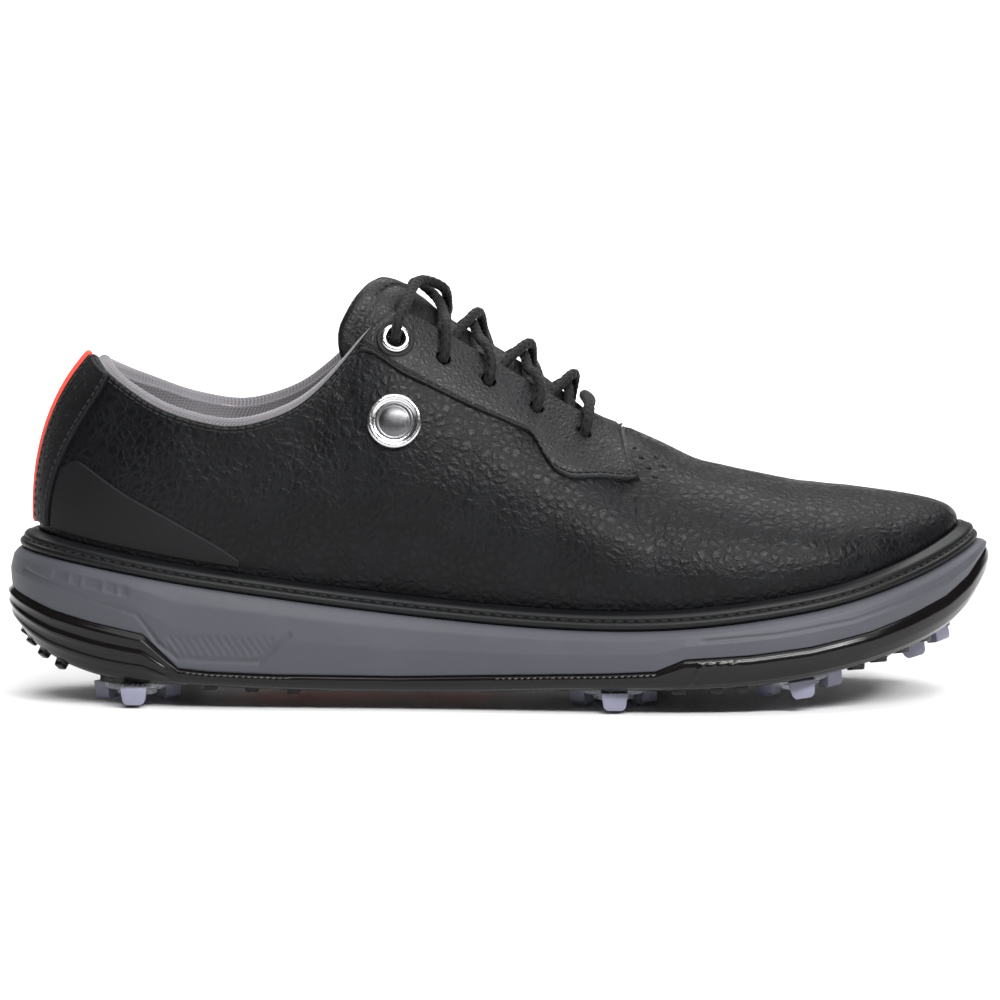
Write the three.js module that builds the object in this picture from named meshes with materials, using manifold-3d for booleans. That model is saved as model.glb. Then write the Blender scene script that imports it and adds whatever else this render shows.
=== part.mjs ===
// A laced golf shoe for the right foot, built as separate pieces: leather upper with its stiffeners,
// padding and lining, hinged tongue, round lace, rubber welt, foam midsole, moulded outsole and
// turn-to-lock cleats in their receptacles. Millimetres, +X to the toe, +Y to the medial side, +Z up.
import * as THREE from "three";
import { mergeVertices } from "three/addons/utils/BufferGeometryUtils.js";
import Module from "manifold-3d";

const wasm = await Module();
wasm.setup();

// ---------------------------------------------------------------- driving dimensions
const SHOE_LENGTH = 310; // over the outsole, heel to toe
const SHOE_WIDTH = 113; // over the outsole at the ball
const SHOE_HEIGHT = 132; // ground to the top of the tongue
const LEATHER = 1.6; // upper leather
const OVERLAY = 1.1; // eyestay and backstay leather
const FILM = 0.5; // heel film
const LINING = 0.9; // textile lining
const COLLAR_PAD = 4.5; // collar foam at its thickest
const STIFFENER = 1.2; // heel counter and toe puff
const WELT_HEIGHT = 5.8;
const BOARD = 1.6; // lasting board
const SOCKLINER = 4.2; // removable footbed
const CUP_EDGE = 3; // rise of the footbed's edge above its middle
const TOE_EASE = 3; // how far the footbed's toe stays back from the leaning lining
const OUTSOLE_PLATE = 3.2;
const OUTSOLE_WALL = 2.0;
const LUG_DEPTH = 2.6;
const CLEAT_RADIUS = 14;
const CLEAT_DROP = 7.5; // flange plane to the tip of a leg
const STEM_RADIUS = 4.6;
const RECEPTACLE_RADIUS = 8;
const RECEPTACLE_DEPTH = 6.2;
const LACE_RADIUS = 1.6;
const EYELET_FIT = 1.625; // eyelet's bore to the lace's radius
const EYELET_BORE = EYELET_FIT * LACE_RADIUS;
const EYELET_WALL = 0.45;
const PIPING_RADIUS = 0.9;
const BADGE_RADIUS = 8.5;
const GAP = 0.3; // between pieces that rest on each other
const STEM_GAP = 0.35; // running clearance of a cleat's stem
const FEATHER_INSET = 10; // outsole's widest line to the leather
const CUP_GAP = 0.7; // midsole and welt to the leather that they hold

// The shape curves below are drawn for this reference shoe and scaled to the driving dimensions.
const REFERENCE = { length: 310, width: 113, height: 132 };
const KX = SHOE_LENGTH / REFERENCE.length;
const KY = SHOE_WIDTH / REFERENCE.width;
const KZ = SHOE_HEIGHT / REFERENCE.height;

// ---------------------------------------------------------------- curves
// Natural cubic spline through [x, y] points.
function spline(points) {
  const n = points.length - 1;
  const x = points.map((p) => p[0]);
  const y = points.map((p) => p[1]);
  const h = x.slice(1).map((v, i) => v - x[i]);
  const second = new Array(n + 1).fill(0);
  const diagonal = new Array(n + 1).fill(0);
  const right = new Array(n + 1).fill(0);
  for (let i = 1; i < n; i++) {
    const share = i > 1 ? h[i - 1] / diagonal[i - 1] : 0;
    diagonal[i] = 2 * (h[i - 1] + h[i]) - share * (i > 1 ? h[i - 1] : 0);
    right[i] = 6 * ((y[i + 1] - y[i]) / h[i] - (y[i] - y[i - 1]) / h[i - 1]) - share * right[i - 1];
  }
  for (let i = n - 1; i > 0; i--) second[i] = (right[i] - h[i] * second[i + 1]) / diagonal[i];
  return (at) => {
    let i = x.findIndex((v) => v > at) - 1;
    if (i === -2) i = n - 1;
    i = Math.max(0, i);
    const a = (x[i + 1] - at) / h[i];
    const b = 1 - a;
    const bend = ((a ** 3 - a) * second[i] + (b ** 3 - b) * second[i + 1]) * h[i] ** 2 / 6;
    return a * y[i] + b * y[i + 1] + bend;
  };
}

// Straight runs between [x, y] points.
function polyline(points) {
  return (at) => {
    const i = Math.max(1, points.findIndex((p) => p[0] >= at) === -1
      ? points.length - 1
      : points.findIndex((p) => p[0] >= at));
    const [x0, y0] = points[i - 1];
    const [x1, y1] = points[i];
    const share = THREE.MathUtils.clamp((at - x0) / (x1 - x0), 0, 1);
    return y0 + share * (y1 - y0);
  };
}

const smooth = THREE.MathUtils.smoothstep;

// ---------------------------------------------------------------- sole outline and levels
// Half of the outline as [x, y], from the back of the heel to the tip of the toe.
const TOE_Y = 7;
const LATERAL_OUTLINE = [
  [-155, 0], [-150, -17], [-135, -30], [-110, -38], [-70, -41.5], [-20, -45], [20, -51],
  [55, -56], [85, -55], [110, -48.5], [130, -36], [145, -19.5], [155, TOE_Y],
];
const MEDIAL_OUTLINE = [
  [-155, 0], [-150, 17], [-135, 29.5], [-110, 36.5], [-70, 38], [-20, 35.5], [20, 40],
  [55, 52], [85, 57], [110, 54.5], [130, 45.5], [145, 31.5], [155, TOE_Y],
];
const HALF = REFERENCE.length / 2;
// x runs with the cosine of the outline's parameter, so both ends come out round.
const toParameter = (x) => Math.acos(THREE.MathUtils.clamp(-x / HALF, -1, 1)) / Math.PI;
const toX = (t) => -HALF * Math.cos(Math.PI * t);
const outlineY = {
  lateral: spline(LATERAL_OUTLINE.map(([x, y]) => [toParameter(x), y])),
  medial: spline(MEDIAL_OUTLINE.map(([x, y]) => [toParameter(x), y])),
};
const SIDE_SIGN = { lateral: -1, medial: 1 };

// Point of the outline at t (0 heel, 1 toe), moved inwards by inset, with its outward direction.
function outlinePoint(side, t, inset = 0) {
  const step = 1e-4;
  const lo = Math.max(0, t - step);
  const hi = Math.min(1, t + step);
  const at = (u) => new THREE.Vector2(toX(u) * KX, outlineY[side](u) * KY);
  const end = t < step || t > 1 - step;
  const along = at(hi).sub(at(lo));
  const out = end
    ? new THREE.Vector2(t < 0.5 ? -1 : 1, 0)
    : new THREE.Vector2(along.y, -along.x).multiplyScalar(-SIDE_SIGN[side]).normalize();
  const p = at(t).addScaledVector(out, -inset);
  return { x: p.x, y: p.y, out: new THREE.Vector3(out.x, out.y, 0) };
}

// Heights of the sole's levels over x.
const rimLevel = spline([
  [-155, 47.6], [-126, 43.0], [-100, 38.7], [-75, 35.1], [-50, 31.8], [-25, 29.0], [0, 26.8],
  [32, 25.6], [57, 26.6], [82, 29.4], [107, 33.6], [125, 38.2], [140, 43.0], [155, 49.0],
]);
const bottomLevel = spline([
  [-155, 23.5], [-150, 19.6], [-145, 16.4], [-135, 12.4], [-122, 9.2], [-110, 7.95], [-98, 7.55],
  [-80, 6.8], [-55, 6.1], [-31, 5.9], [0, 6.5], [20, 7.3], [34, 7.6], [50, 7.85], [63, 8.3],
  [76, 9.1], [95, 11.5], [114, 15.2], [126, 18.2], [139, 22.8], [148, 28.6], [155, 36.5],
]);
const wingLevel = polyline([
  [-155, 35.5], [-151, 33.8], [-139, 29.5], [-126, 26.4], [-110, 23.2], [-99, 12.8], [-90, 11.9],
  [-69, 11.1], [-31, 10.9], [0, 11.8], [32, 12.9], [47, 13.8], [56, 17.6], [76, 18.9], [95, 21.2],
  [114, 25.2], [126, 29.0], [139, 34.0], [147, 39.2], [151, 43.4], [155, 47.0],
]);
const cupDepth = polyline([[-155, 5], [-60, 4], [20, 0.5], [155, 0.5]]);
const rim = (t) => rimLevel(toX(t)) * KZ;
const bottom = (t) => bottomLevel(toX(t)) * KZ;
const wing = (t) => Math.min(wingLevel(toX(t)) * KZ, rim(t) - 1);
const plateTop = (t) => bottom(t) + OUTSOLE_PLATE;
const cupFloor = (x) => rimLevel(x / KX) * KZ - cupDepth(x / KX); // by place, not by column
const randTop = (t) => rim(t) + WELT_HEIGHT;

// Columns of the sole pieces: closer together at the ends and at the corners of the wings.
const SOLE_COLUMNS = [
  0, 0.035, 0.07, 0.105, 0.14, 0.18, 0.215, toParameter(-110), toParameter(-99), 0.31, 0.36, 0.41,
  0.46, 0.51, 0.555, toParameter(47), toParameter(56), 0.65, 0.69, 0.73, 0.77, 0.81, 0.85, 0.885,
  0.915, 0.945, 0.972, 1,
];

// ---------------------------------------------------------------- meshes and solids
// A closed surface from rings of points: rings[i][j], each ring closed, joined to the next one.
// Rings that fold onto themselves at the ends close the surface; wrap joins the last to the first.
function ringGeometry(rings, wrap = false) {
  const positions = [];
  const count = rings[0].length;
  const last = wrap ? rings.length : rings.length - 1;
  for (let i = 0; i < last; i++) {
    const a = rings[i];
    const b = rings[(i + 1) % rings.length];
    for (let j = 0; j < count; j++) {
      const k = (j + 1) % count;
      positions.push(a[j], b[j], b[k], a[j], b[k], a[k]);
    }
  }
  return closedGeometry(positions);
}

// Welds a triangle soup of Vector3, drops the triangles that collapsed and turns the faces out.
function closedGeometry(soup) {
  const loose = new THREE.BufferGeometry();
  loose.setAttribute("position", new THREE.Float32BufferAttribute(soup.flatMap((p) => [p.x, p.y, p.z]), 3));
  const welded = mergeVertices(loose, 2e-3);
  const old = welded.index.array;
  const kept = [];
  for (let i = 0; i < old.length; i += 3) {
    const [a, b, c] = [old[i], old[i + 1], old[i + 2]];
    if (a !== b && b !== c && c !== a) kept.push(a, b, c);
  }
  const p = welded.getAttribute("position");
  const [a, b, c] = [0, 1, 2].map(() => new THREE.Vector3());
  let volume = 0;
  for (let i = 0; i < kept.length; i += 3) {
    a.fromBufferAttribute(p, kept[i]);
    b.fromBufferAttribute(p, kept[i + 1]);
    c.fromBufferAttribute(p, kept[i + 2]);
    volume += a.dot(b.cross(c));
  }
  if (volume < 0) for (let i = 0; i < kept.length; i += 3) [kept[i + 1], kept[i + 2]] = [kept[i + 2], kept[i + 1]];
  welded.setIndex(kept);
  return welded;
}

function toSolid(geometry) {
  const bare = geometry.clone();
  for (const name of Object.keys(bare.attributes)) if (name !== "position") bare.deleteAttribute(name);
  const welded = mergeVertices(bare, 1e-4);
  return new wasm.Manifold(new wasm.Mesh({
    numProp: 3,
    vertProperties: welded.getAttribute("position").array,
    triVerts: new Uint32Array(welded.index.array),
  }));
}

function toGeometry(solid) {
  const mesh = solid.getMesh();
  const geometry = new THREE.BufferGeometry();
  geometry.setAttribute("position", new THREE.BufferAttribute(new Float32Array(mesh.vertProperties), 3));
  geometry.setIndex(new THREE.BufferAttribute(new Uint32Array(mesh.triVerts), 1));
  return geometry;
}

const MERGE = 0.02; // faces this close to flat are made one after a cut or a join
const tidied = (solid) => toGeometry(solid.asOriginal().simplify(MERGE));
const joined = (geometries) => tidied(geometries.map(toSolid).reduce((a, b) => a.add(b)));
function cut(geometry, cutters) {
  return tidied(cutters.map(toSolid).reduce((a, b) => a.subtract(b), toSolid(geometry)));
}

const shoe = new THREE.Group();
const LOOKS = {
  leather: [0x15161a, 0.45, 0], eyestay: [0x1b1c20, 0.4, 0], lining: [0x6f6b70, 0.95, 0],
  foam: [0xb9b4a6, 0.95, 0], stiffener: [0xd8d2c4, 0.8, 0], red: [0xd8443c, 0.6, 0],
  film: [0x1e1f21, 0.7, 0], metal: [0xd9d9dc, 0.2, 1], lace: [0x1a1a1b, 0.85, 0],
  aglet: [0x111111, 0.3, 0], rubber: [0x17191a, 0.65, 0], midsole: [0x63656f, 0.85, 0],
  outsole: [0x241f20, 0.25, 0], receptacle: [0x2a2a2d, 0.4, 0], clear: [0xb8bcc2, 0.15, 0],
  accent: [0xb4b6cc, 0.4, 0], board: [0xcbbfa6, 0.9, 0], footbed: [0x2c2d31, 0.95, 0],
};
function addMesh(name, geometry, look, place) {
  const [color, roughness, metalness] = LOOKS[look];
  const mesh = new THREE.Mesh(geometry, new THREE.MeshStandardMaterial({ color, roughness, metalness }));
  mesh.name = name;
  if (place) mesh.applyMatrix4(place);
  shoe.add(mesh);
  return mesh;
}

// ---------------------------------------------------------------- sole unit
// Point of a sole level; z is a height, or a function of the point's own x.
const level = (side, t, inset, z) => {
  const p = outlinePoint(side, t, inset);
  return new THREE.Vector3(p.x, p.y, typeof z === "function" ? z(p.x) : z);
};
// Ring of one column of a sole piece: lateral profile upwards, across, and the medial one downwards.
// Both profiles are lists of [inset, z]; middle adds a point halfway across at each crossing.
function soleRing(t, profile) {
  const lateral = profile.map(([inset, z]) => level("lateral", t, inset, z));
  const medial = profile.map(([inset, z]) => level("medial", t, inset, z)).reverse();
  const midTop = lateral.at(-1).clone().lerp(medial[0], 0.5);
  const midBottom = medial.at(-1).clone().lerp(lateral[0], 0.5);
  return [...lateral, midTop, ...medial, midBottom];
}
const solePiece = (profileAt, columns = SOLE_COLUMNS) =>
  ringGeometry(columns.map((t) => soleRing(t, profileAt(t))));

const WALL_OUTSIDE = 1.0; // inset of the outsole's upper edge
const MIDSOLE_SIDE = 1.2; // inset of the midsole above the outsole's wings
const wallInside = WALL_OUTSIDE + OUTSOLE_WALL + 0.4;

function outsoleProfile(t) {
  const low = bottom(t);
  const high = wing(t);
  const rise = high - low;
  return [
    [7, low], [3, low + 0.12 * rise + 0.4], [0.6, low + 0.45 * rise], [0, low + 0.75 * rise],
    [WALL_OUTSIDE, high], [wallInside, high], [wallInside, plateTop(t)],
  ];
}
function midsoleProfile(t) {
  const ledge = wing(t) + GAP;
  const high = rim(t);
  const inner = FEATHER_INSET - CUP_GAP;
  return [
    [wallInside + GAP, plateTop(t) + GAP], [wallInside + GAP, ledge], [MIDSOLE_SIDE, ledge],
    [MIDSOLE_SIDE - 0.4, ledge + 0.45 * (high - ledge)], [MIDSOLE_SIDE + 0.6, ledge + 0.8 * (high - ledge)],
    [4.4, high], [inner, high], [inner, cupFloor],
  ];
}

// Where the cleats go. Level ones stand on the ground; the others follow the sole's toe spring.
const CLEAT_SITES = [
  { name: "heel_lateral", x: -113, y: -21, level: true },
  { name: "heel_medial", x: -109, y: 20, level: true },
  { name: "ball_lateral", x: 35, y: -34, level: true },
  { name: "ball_medial", x: 41, y: 24, level: true },
  { name: "fore_lateral", x: 92, y: -31, level: false },
  { name: "fore_medial", x: 96, y: 34, level: false },
  { name: "toe", x: 129, y: 6, level: false },
];
const FLANGE_RADIUS = 10;
// Matrix from a cleat's own frame (z up into the sole, flange plane at 0) to the shoe.
function sitePlace(site) {
  const slope = site.level ? 0 : (bottomLevel(site.x + 2) - bottomLevel(site.x - 2)) / 4 * (KZ / KX);
  const z = site.level ? CLEAT_DROP : bottomLevel(site.x) * KZ - 0.1;
  return new THREE.Matrix4()
    .makeTranslation(site.x * KX, site.y * KY, z)
    .multiply(new THREE.Matrix4().makeRotationY(-Math.atan(slope)));
}
function drum(radius, z0, z1, sides = 14) {
  return new THREE.CylinderGeometry(radius, radius, z1 - z0, sides)
    .rotateX(Math.PI / 2).translate(0, 0, (z0 + z1) / 2);
}

// One tread lug: a tapered block standing out of the outsole at t, along the sole's edge.
function lugGeometry(side, t, inset, length, width, depth, lean) {
  const p = outlinePoint(side, t, inset);
  const along = new THREE.Vector3(-p.out.y, p.out.x, 0);
  const down = new THREE.Vector3(0, 0, -1).addScaledVector(p.out, lean).normalize();
  const across = new THREE.Vector3().crossVectors(along, down);
  const block = new THREE.CylinderGeometry(0.62, 0.75, depth + 2, 4).rotateY(Math.PI / 4);
  block.scale(length, 1, width);
  const place = new THREE.Matrix4().makeBasis(along, down, across)
    .setPosition(p.x, p.y, bottom(t) + 0.4);
  const flip = new THREE.Matrix4().makeTranslation(0, (depth - 2) / 2, 0);
  return block.applyMatrix4(place.multiply(flip));
}
function lugs() {
  const made = [];
  const clear = (p) => CLEAT_SITES.every((s) => Math.hypot(s.x * KX - p.x, s.y * KY - p.y) > CLEAT_RADIUS + 4.5);
  const row = (xs, inset, length, width, depth, lean) => {
    for (const side of ["lateral", "medial"]) {
      for (const x of xs) {
        const t = toParameter(x);
        if (clear(outlinePoint(side, t, inset))) made.push(lugGeometry(side, t, inset, length, width, depth, lean));
      }
    }
  };
  row([-153.6, -150.5, -145.5, -139, -131.5], 6.2, 3.4, 3.6, LUG_DEPTH + 0.6, 0.75);
  row([-124], 7.5, 3.6, 4, LUG_DEPTH, 0.3);
  row([-90, -77, -64], 9.5, 4.6, 5, LUG_DEPTH - 0.6, 0);
  row([54, 66, 74, 112, 120, 128, 136, 143.5, 149.5], 7.5, 5, 4.6, LUG_DEPTH - 0.4, 0.15);
  return made;
}

const SHANK = { x0: -78, x1: -2, halfWidth: 12, waist: 8, low: 5.0, thickness: 1.9 };
function shankGeometry(grow) {
  const { x0, x1, halfWidth, waist, low, thickness } = SHANK;
  const shape = new THREE.Shape();
  const end = halfWidth + grow;
  shape.moveTo(x0 * KX - grow, -end);
  shape.quadraticCurveTo((x0 + x1) / 2 * KX, -waist - grow, x1 * KX + grow, -end);
  shape.lineTo(x1 * KX + grow, end);
  shape.quadraticCurveTo((x0 + x1) / 2 * KX, waist + grow, x0 * KX - grow, end);
  shape.closePath();
  const depth = thickness + (grow ? grow + 3 : 0);
  return new THREE.ExtrudeGeometry(shape, { depth, bevelEnabled: false, curveSegments: 6 })
    .translate(0, 0, low * KZ - (grow ? 3 : 0));
}

function buildSole() {
  const places = CLEAT_SITES.map(sitePlace);
  const placed = (make) => places.map((m) => make().applyMatrix4(m));
  const outsole = joined([
    solePiece(outsoleProfile),
    ...placed(() => drum(FLANGE_RADIUS + 1.5, 0, OUTSOLE_PLATE - 0.4)),
    ...lugs(),
  ]);
  const sockets = placed(() => drum(RECEPTACLE_RADIUS + GAP, -6, RECEPTACLE_DEPTH + GAP));
  const recess = shankGeometry(GAP);
  const inside = solePiece((t) => [[wallInside, plateTop(t)], [wallInside, rim(t)]]);
  addMesh("outsole", cut(outsole, [...sockets, recess, inside]), "outsole");
  addMesh("shank_plate", shankGeometry(0), "red");
  addMesh("midsole", cut(solePiece(midsoleProfile), sockets), "midsole");
}

// Rubber welt: a ring with two ribs and a groove between them, on the midsole's rim.
function buildWelt() {
  const inner = FEATHER_INSET - CUP_GAP;
  const section = (t) => {
    const low = rim(t) + GAP;
    const high = randTop(t);
    const rise = high - low;
    return [
      [inner, low], [4.4, low], [3.8, low + 0.25 * rise], [4.3, low + 0.48 * rise],
      [6.6, low + 0.55 * rise], [7.6, low + 0.66 * rise], [8.0, high], [inner, high],
    ];
  };
  const half = (side, ts) => ts.map((t) => section(t).map(([inset, z]) => level(side, t, inset, z)));
  const back = [...SOLE_COLUMNS].reverse().slice(1, -1);
  addMesh("welt", ringGeometry([...half("lateral", SOLE_COLUMNS), ...half("medial", back)], true), "rubber");
}

// ---------------------------------------------------------------- cleats
// Blocky leg with its outline drawn in the tangential plane, standing between two radii.
function legGeometry(outlinePoints, innerRadius, outerRadius, angle) {
  const shape = new THREE.Shape(outlinePoints.map(([x, z]) => new THREE.Vector2(x, z)));
  return new THREE.ExtrudeGeometry(shape, { depth: outerRadius - innerRadius, bevelEnabled: false })
    .rotateX(Math.PI / 2).rotateZ(Math.PI).translate(0, innerRadius, 0).rotateZ(angle);
}
const FLANGE = 2.1; // thickness of a cleat's flange
const third = (Math.PI * 2) / 3;
function cleatBody() {
  const low = -GAP - FLANGE;
  const tip = -CLEAT_DROP + 1.1;
  const leg = [[-4.2, low + 1.6], [4.2, low + 1.6], [3.4, tip + 1], [2.4, tip], [-2.4, tip], [-3.4, tip + 1]];
  const legs = [0, 1, 2].map((i) => legGeometry(leg, 8.2, CLEAT_RADIUS - 0.4, i * third + Math.PI / 3));
  return joined([
    drum(FLANGE_RADIUS, low, -GAP),
    drum(STEM_RADIUS, low + 0.5, RECEPTACLE_DEPTH - 1.6, 10),
    ...legs,
  ]);
}
function cleatStar() {
  const high = -2 * GAP - FLANGE;
  const leg = [
    [-5.2, high], [3.4, high], [5.2, high - 1.6], [5.6, -CLEAT_DROP], [0.4, -CLEAT_DROP],
    [-1.4, high - 2.1], [-5.2, high - 0.9],
  ];
  const spoke = [[-2.6, high], [2.6, high], [2.2, high - 1.5], [-2.2, high - 1.5]];
  const parts = [0, 1, 2].flatMap((i) => [
    legGeometry(leg, 9.6, CLEAT_RADIUS, i * third),
    legGeometry(spoke, 2.5, 9.8, i * third),
  ]);
  const ring = cut(drum(6.2, high - 1.5, high, 12), [drum(2.2, high - 3, high + 1, 8)]);
  return joined([ring, ...parts]);
}
function receptacle() {
  const bore = STEM_RADIUS + STEM_GAP;
  const profile = [
    [0, RECEPTACLE_DEPTH], [RECEPTACLE_RADIUS, RECEPTACLE_DEPTH], [RECEPTACLE_RADIUS, 0.1],
    [bore, 0.1], [bore, RECEPTACLE_DEPTH - 1.2], [0, RECEPTACLE_DEPTH - 1.2],
  ].map(([r, z]) => new THREE.Vector2(r, z));
  return closedGeometry(soupOf(new THREE.LatheGeometry(profile, 14).rotateX(Math.PI / 2)));
}
// The triangles of a geometry as a list of Vector3.
function soupOf(geometry) {
  const flat = geometry.index ? geometry.toNonIndexed() : geometry;
  const p = flat.getAttribute("position");
  return Array.from({ length: p.count }, (_, i) => new THREE.Vector3().fromBufferAttribute(p, i));
}
function buildCleats() {
  const body = cleatBody();
  const star = cleatStar();
  const cup = receptacle();
  for (const site of CLEAT_SITES) {
    const place = sitePlace(site);
    addMesh("receptacle_" + site.name, cup, "receptacle", place);
    addMesh("cleat_body_" + site.name, body, "clear", place);
    addMesh("cleat_star_" + site.name, star, "accent", place);
  }
}

// ---------------------------------------------------------------- upper surface
// One line of the upper per station, from the welt up to the top edge:
// feather x | top edge x, half width, z | lean and reach at the welt | pitch and reach at the top.
const STATIONS = [
  [-145, -127.6, 0, 108.0, 3, 26, 46, 15],
  [-141, -122.9, 12.5, 103.6, 5, 24, 56, 13],
  [-131, -115, 20.0, 98.0, 7, 20, 68, 12],
  [-117, -104.5, 26.6, 92.2, 9, 18, 78, 12],
  [-100, -91, 30.6, 88.2, 11, 18, 84, 12],
  [-84, -80, 32.0, 87.4, 13, 18, 86, 12],
  [-70, -69, 32.2, 90.2, 15, 20, 86, 13],
  [-58, -59.5, 31.6, 95.4, 17, 22, 83, 15],
  [-46, -50.2, 30.0, 104.6, 19, 26, 77, 18],
  [-36, -42.6, 28.0, 114.2, 21, 28, 70, 20],
  [-28, -36.4, 25.8, 120.6, 21, 30, 62, 20],
  [-20, -30.0, 23.2, 122.3, 21, 30, 55, 20],
  [-10, -22.0, 20.6, 118.4, 21, 30, 49, 20],
  [5, -7.5, 18.8, 110.0, 21, 29, 44, 20],
  [20, 9.5, 17.4, 99.8, 21, 27, 40, 20],
  [33, 25.5, 14.0, 90.2, 21, 25, 32, 20],
  [42, 37.5, 6.5, 84.9, 20, 24, 16, 20],
  [48, 43.0, 0, 83.6, 20, 23, 0, 22],
  [66, 56.5, 0, 76.8, 19, 23, 0, 24],
  [85, 70.5, 0, 72.2, 17, 21, 0, 24],
  [103, 83.5, 0, 69.5, 14, 18, 0, 22],
  [119, 95.0, 0, 67.8, 10, 14, 0, 20],
  [132, 104.5, 0, 66.6, 5, 10, 0, 18],
  [145, 112.0, 0, 65.6, 0, 7.5, 0, 18],
];
const LAST = STATIONS.length - 1;
const THROAT = 17; // station where the two sides meet on the crest
const column = (i) => spline(STATIONS.map((row, k) => [k, row[i]]));
const [featherX, topX, topHalf, topZ, lean, reachLow, pitch, reachHigh] = [0, 1, 2, 3, 4, 5, 6, 7].map(column);
const crestY = spline([[-155, 0], [-20, 0], [40, 1], [75, 3.2], [112, 6]]);
const medialRise = (k) => 2.9 * smooth(k, 0.2, 3) * (1 - smooth(k, 7, 10)); // medial collar stands higher
const columnParameter = (k) => {
  if (k <= 0) return 0;
  if (k >= LAST) return 1;
  return toParameter(featherX(k) * HALF / 145);
};
const radians = THREE.MathUtils.degToRad;
function crestSlope(k) {
  const [a, b] = [k - 0.05, Math.min(LAST, k + 0.05)];
  return (topZ(b) - topZ(a)) / (topX(b) - topX(a)) * (KZ / KX);
}

function upperLine(side, k) {
  const t = columnParameter(k);
  const sign = SIDE_SIGN[side];
  const foot = outlinePoint(side, t, FEATHER_INSET);
  const start = new THREE.Vector3(foot.x, foot.y, randTop(t));
  const half = k >= THROAT ? 0 : Math.max(0, topHalf(k));
  const rise = side === "medial" ? medialRise(k) : 0;
  const x = topX(k);
  const end = new THREE.Vector3(x * KX, (sign * half + crestY(x)) * KY, (topZ(k) + rise) * KZ);
  const low = radians(lean(k) - (side === "medial" ? 5 * smooth(k, 3, 8) * (1 - smooth(k, 17, 22)) : 0));
  const up = new THREE.Vector3(0, 0, 1);
  const first = foot.out.clone().multiplyScalar(Math.sin(low)).addScaledVector(up, Math.cos(low));
  const inward = foot.out.clone().negate();
  const high = k >= THROAT ? 0 : radians(Math.max(0, pitch(k)));
  const arrive = inward.clone().multiplyScalar(Math.cos(high)).addScaledVector(up, Math.sin(high));
  arrive.z += smooth(k, THROAT - 4, THROAT) * crestSlope(k) * inward.x; // lies along the crest there
  return new THREE.CubicBezierCurve3(
    start,
    start.clone().addScaledVector(first, reachLow(k) * KZ),
    end.clone().addScaledVector(arrive.normalize(), -reachHigh(k) * KZ),
    end,
  );
}
const lines = new Map();
function lineAt(side, k) {
  const key = side + k.toFixed(5);
  if (!lines.has(key)) lines.set(key, upperLine(side, k));
  return lines.get(key);
}
const surfacePoint = (side, k, v) => lineAt(side, k).getPoint(v);
function sideNormal(side, k, v) {
  const d = 0.02;
  const along = surfacePoint(side, Math.min(LAST, k + d), v).sub(surfacePoint(side, Math.max(0, k - d), v));
  const upward = surfacePoint(side, k, Math.min(1, v + d)).sub(surfacePoint(side, k, Math.max(0, v - d)));
  return new THREE.Vector3().crossVectors(along, upward).multiplyScalar(-SIDE_SIGN[side]).normalize();
}
// Outward normal: square to the crest where the sides meet on it, and the mean of both at heel and toe.
function surfaceNormal(side, k, v) {
  if (v > 1 - 1e-6 && k > THROAT - 1e-6) return new THREE.Vector3(-crestSlope(k), 0, 1).normalize();
  const n = sideNormal(side, k, v);
  if (k > 1e-6 && k < LAST - 1e-6) return n;
  return n.add(sideNormal(side === "lateral" ? "medial" : "lateral", k, v)).normalize();
}
const offsetPoint = (side, k, v, offset) =>
  surfacePoint(side, k, v).addScaledVector(surfaceNormal(side, k, v), offset);

// Station and height share of the surface point seen at x, z from the side.
function locate(side, x, z) {
  let best = { k: 0, v: 0, d: Infinity };
  for (let k = 0; k <= LAST; k += 0.5) {
    for (let v = 0; v <= 1; v += 0.1) {
      const p = surfacePoint(side, k, v);
      const d = Math.hypot(p.x - x * KX, p.z - z * KZ);
      if (d < best.d) best = { k, v, d };
    }
  }
  let { k, v } = best;
  for (let i = 0; i < 12; i++) {
    const d = 0.01;
    const p = surfacePoint(side, k, v);
    const pk = surfacePoint(side, Math.min(LAST, k + d), v).sub(p).divideScalar(d);
    const pv = surfacePoint(side, k, Math.min(1, v + d)).sub(p).divideScalar(d);
    const [rx, rz] = [x * KX - p.x, z * KZ - p.z];
    const det = pk.x * pv.z - pk.z * pv.x;
    if (Math.abs(det) < 1e-9) break;
    k = THREE.MathUtils.clamp(k + THREE.MathUtils.clamp((rx * pv.z - rz * pv.x) / det, -1, 1), 0.02, LAST - 0.02);
    v = THREE.MathUtils.clamp(v + THREE.MathUtils.clamp((pk.x * rz - pk.z * rx) / det, -0.2, 0.2), 0, 0.98);
  }
  return { side, k, v };
}

// A plate that follows the upper: grid[i][j] of {side, k, v}, between two offsets.
function plate(grid, low, high) {
  const at = (g, offset) => offsetPoint(g.side, g.k, g.v, typeof offset === "function" ? offset(g.k, g.v) : offset);
  return slab(grid.map((row) => row.map((g) => at(g, high))), grid.map((row) => row.map((g) => at(g, low))));
}
// Adds quad a, b, c, d to a triangle soup, always split from a to c so that stacked layers match.
function addQuad(soup, flip, a, b, c, d) {
  if (flip) soup.push(a, c, b, a, d, c);
  else soup.push(a, b, c, a, c, d);
}
// Cell i, j of a grid of points as the corners of a quad.
const cell = (grid, i, j) => [grid[i][j], grid[i + 1][j], grid[i + 1][j + 1], grid[i][j + 1]];
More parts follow.
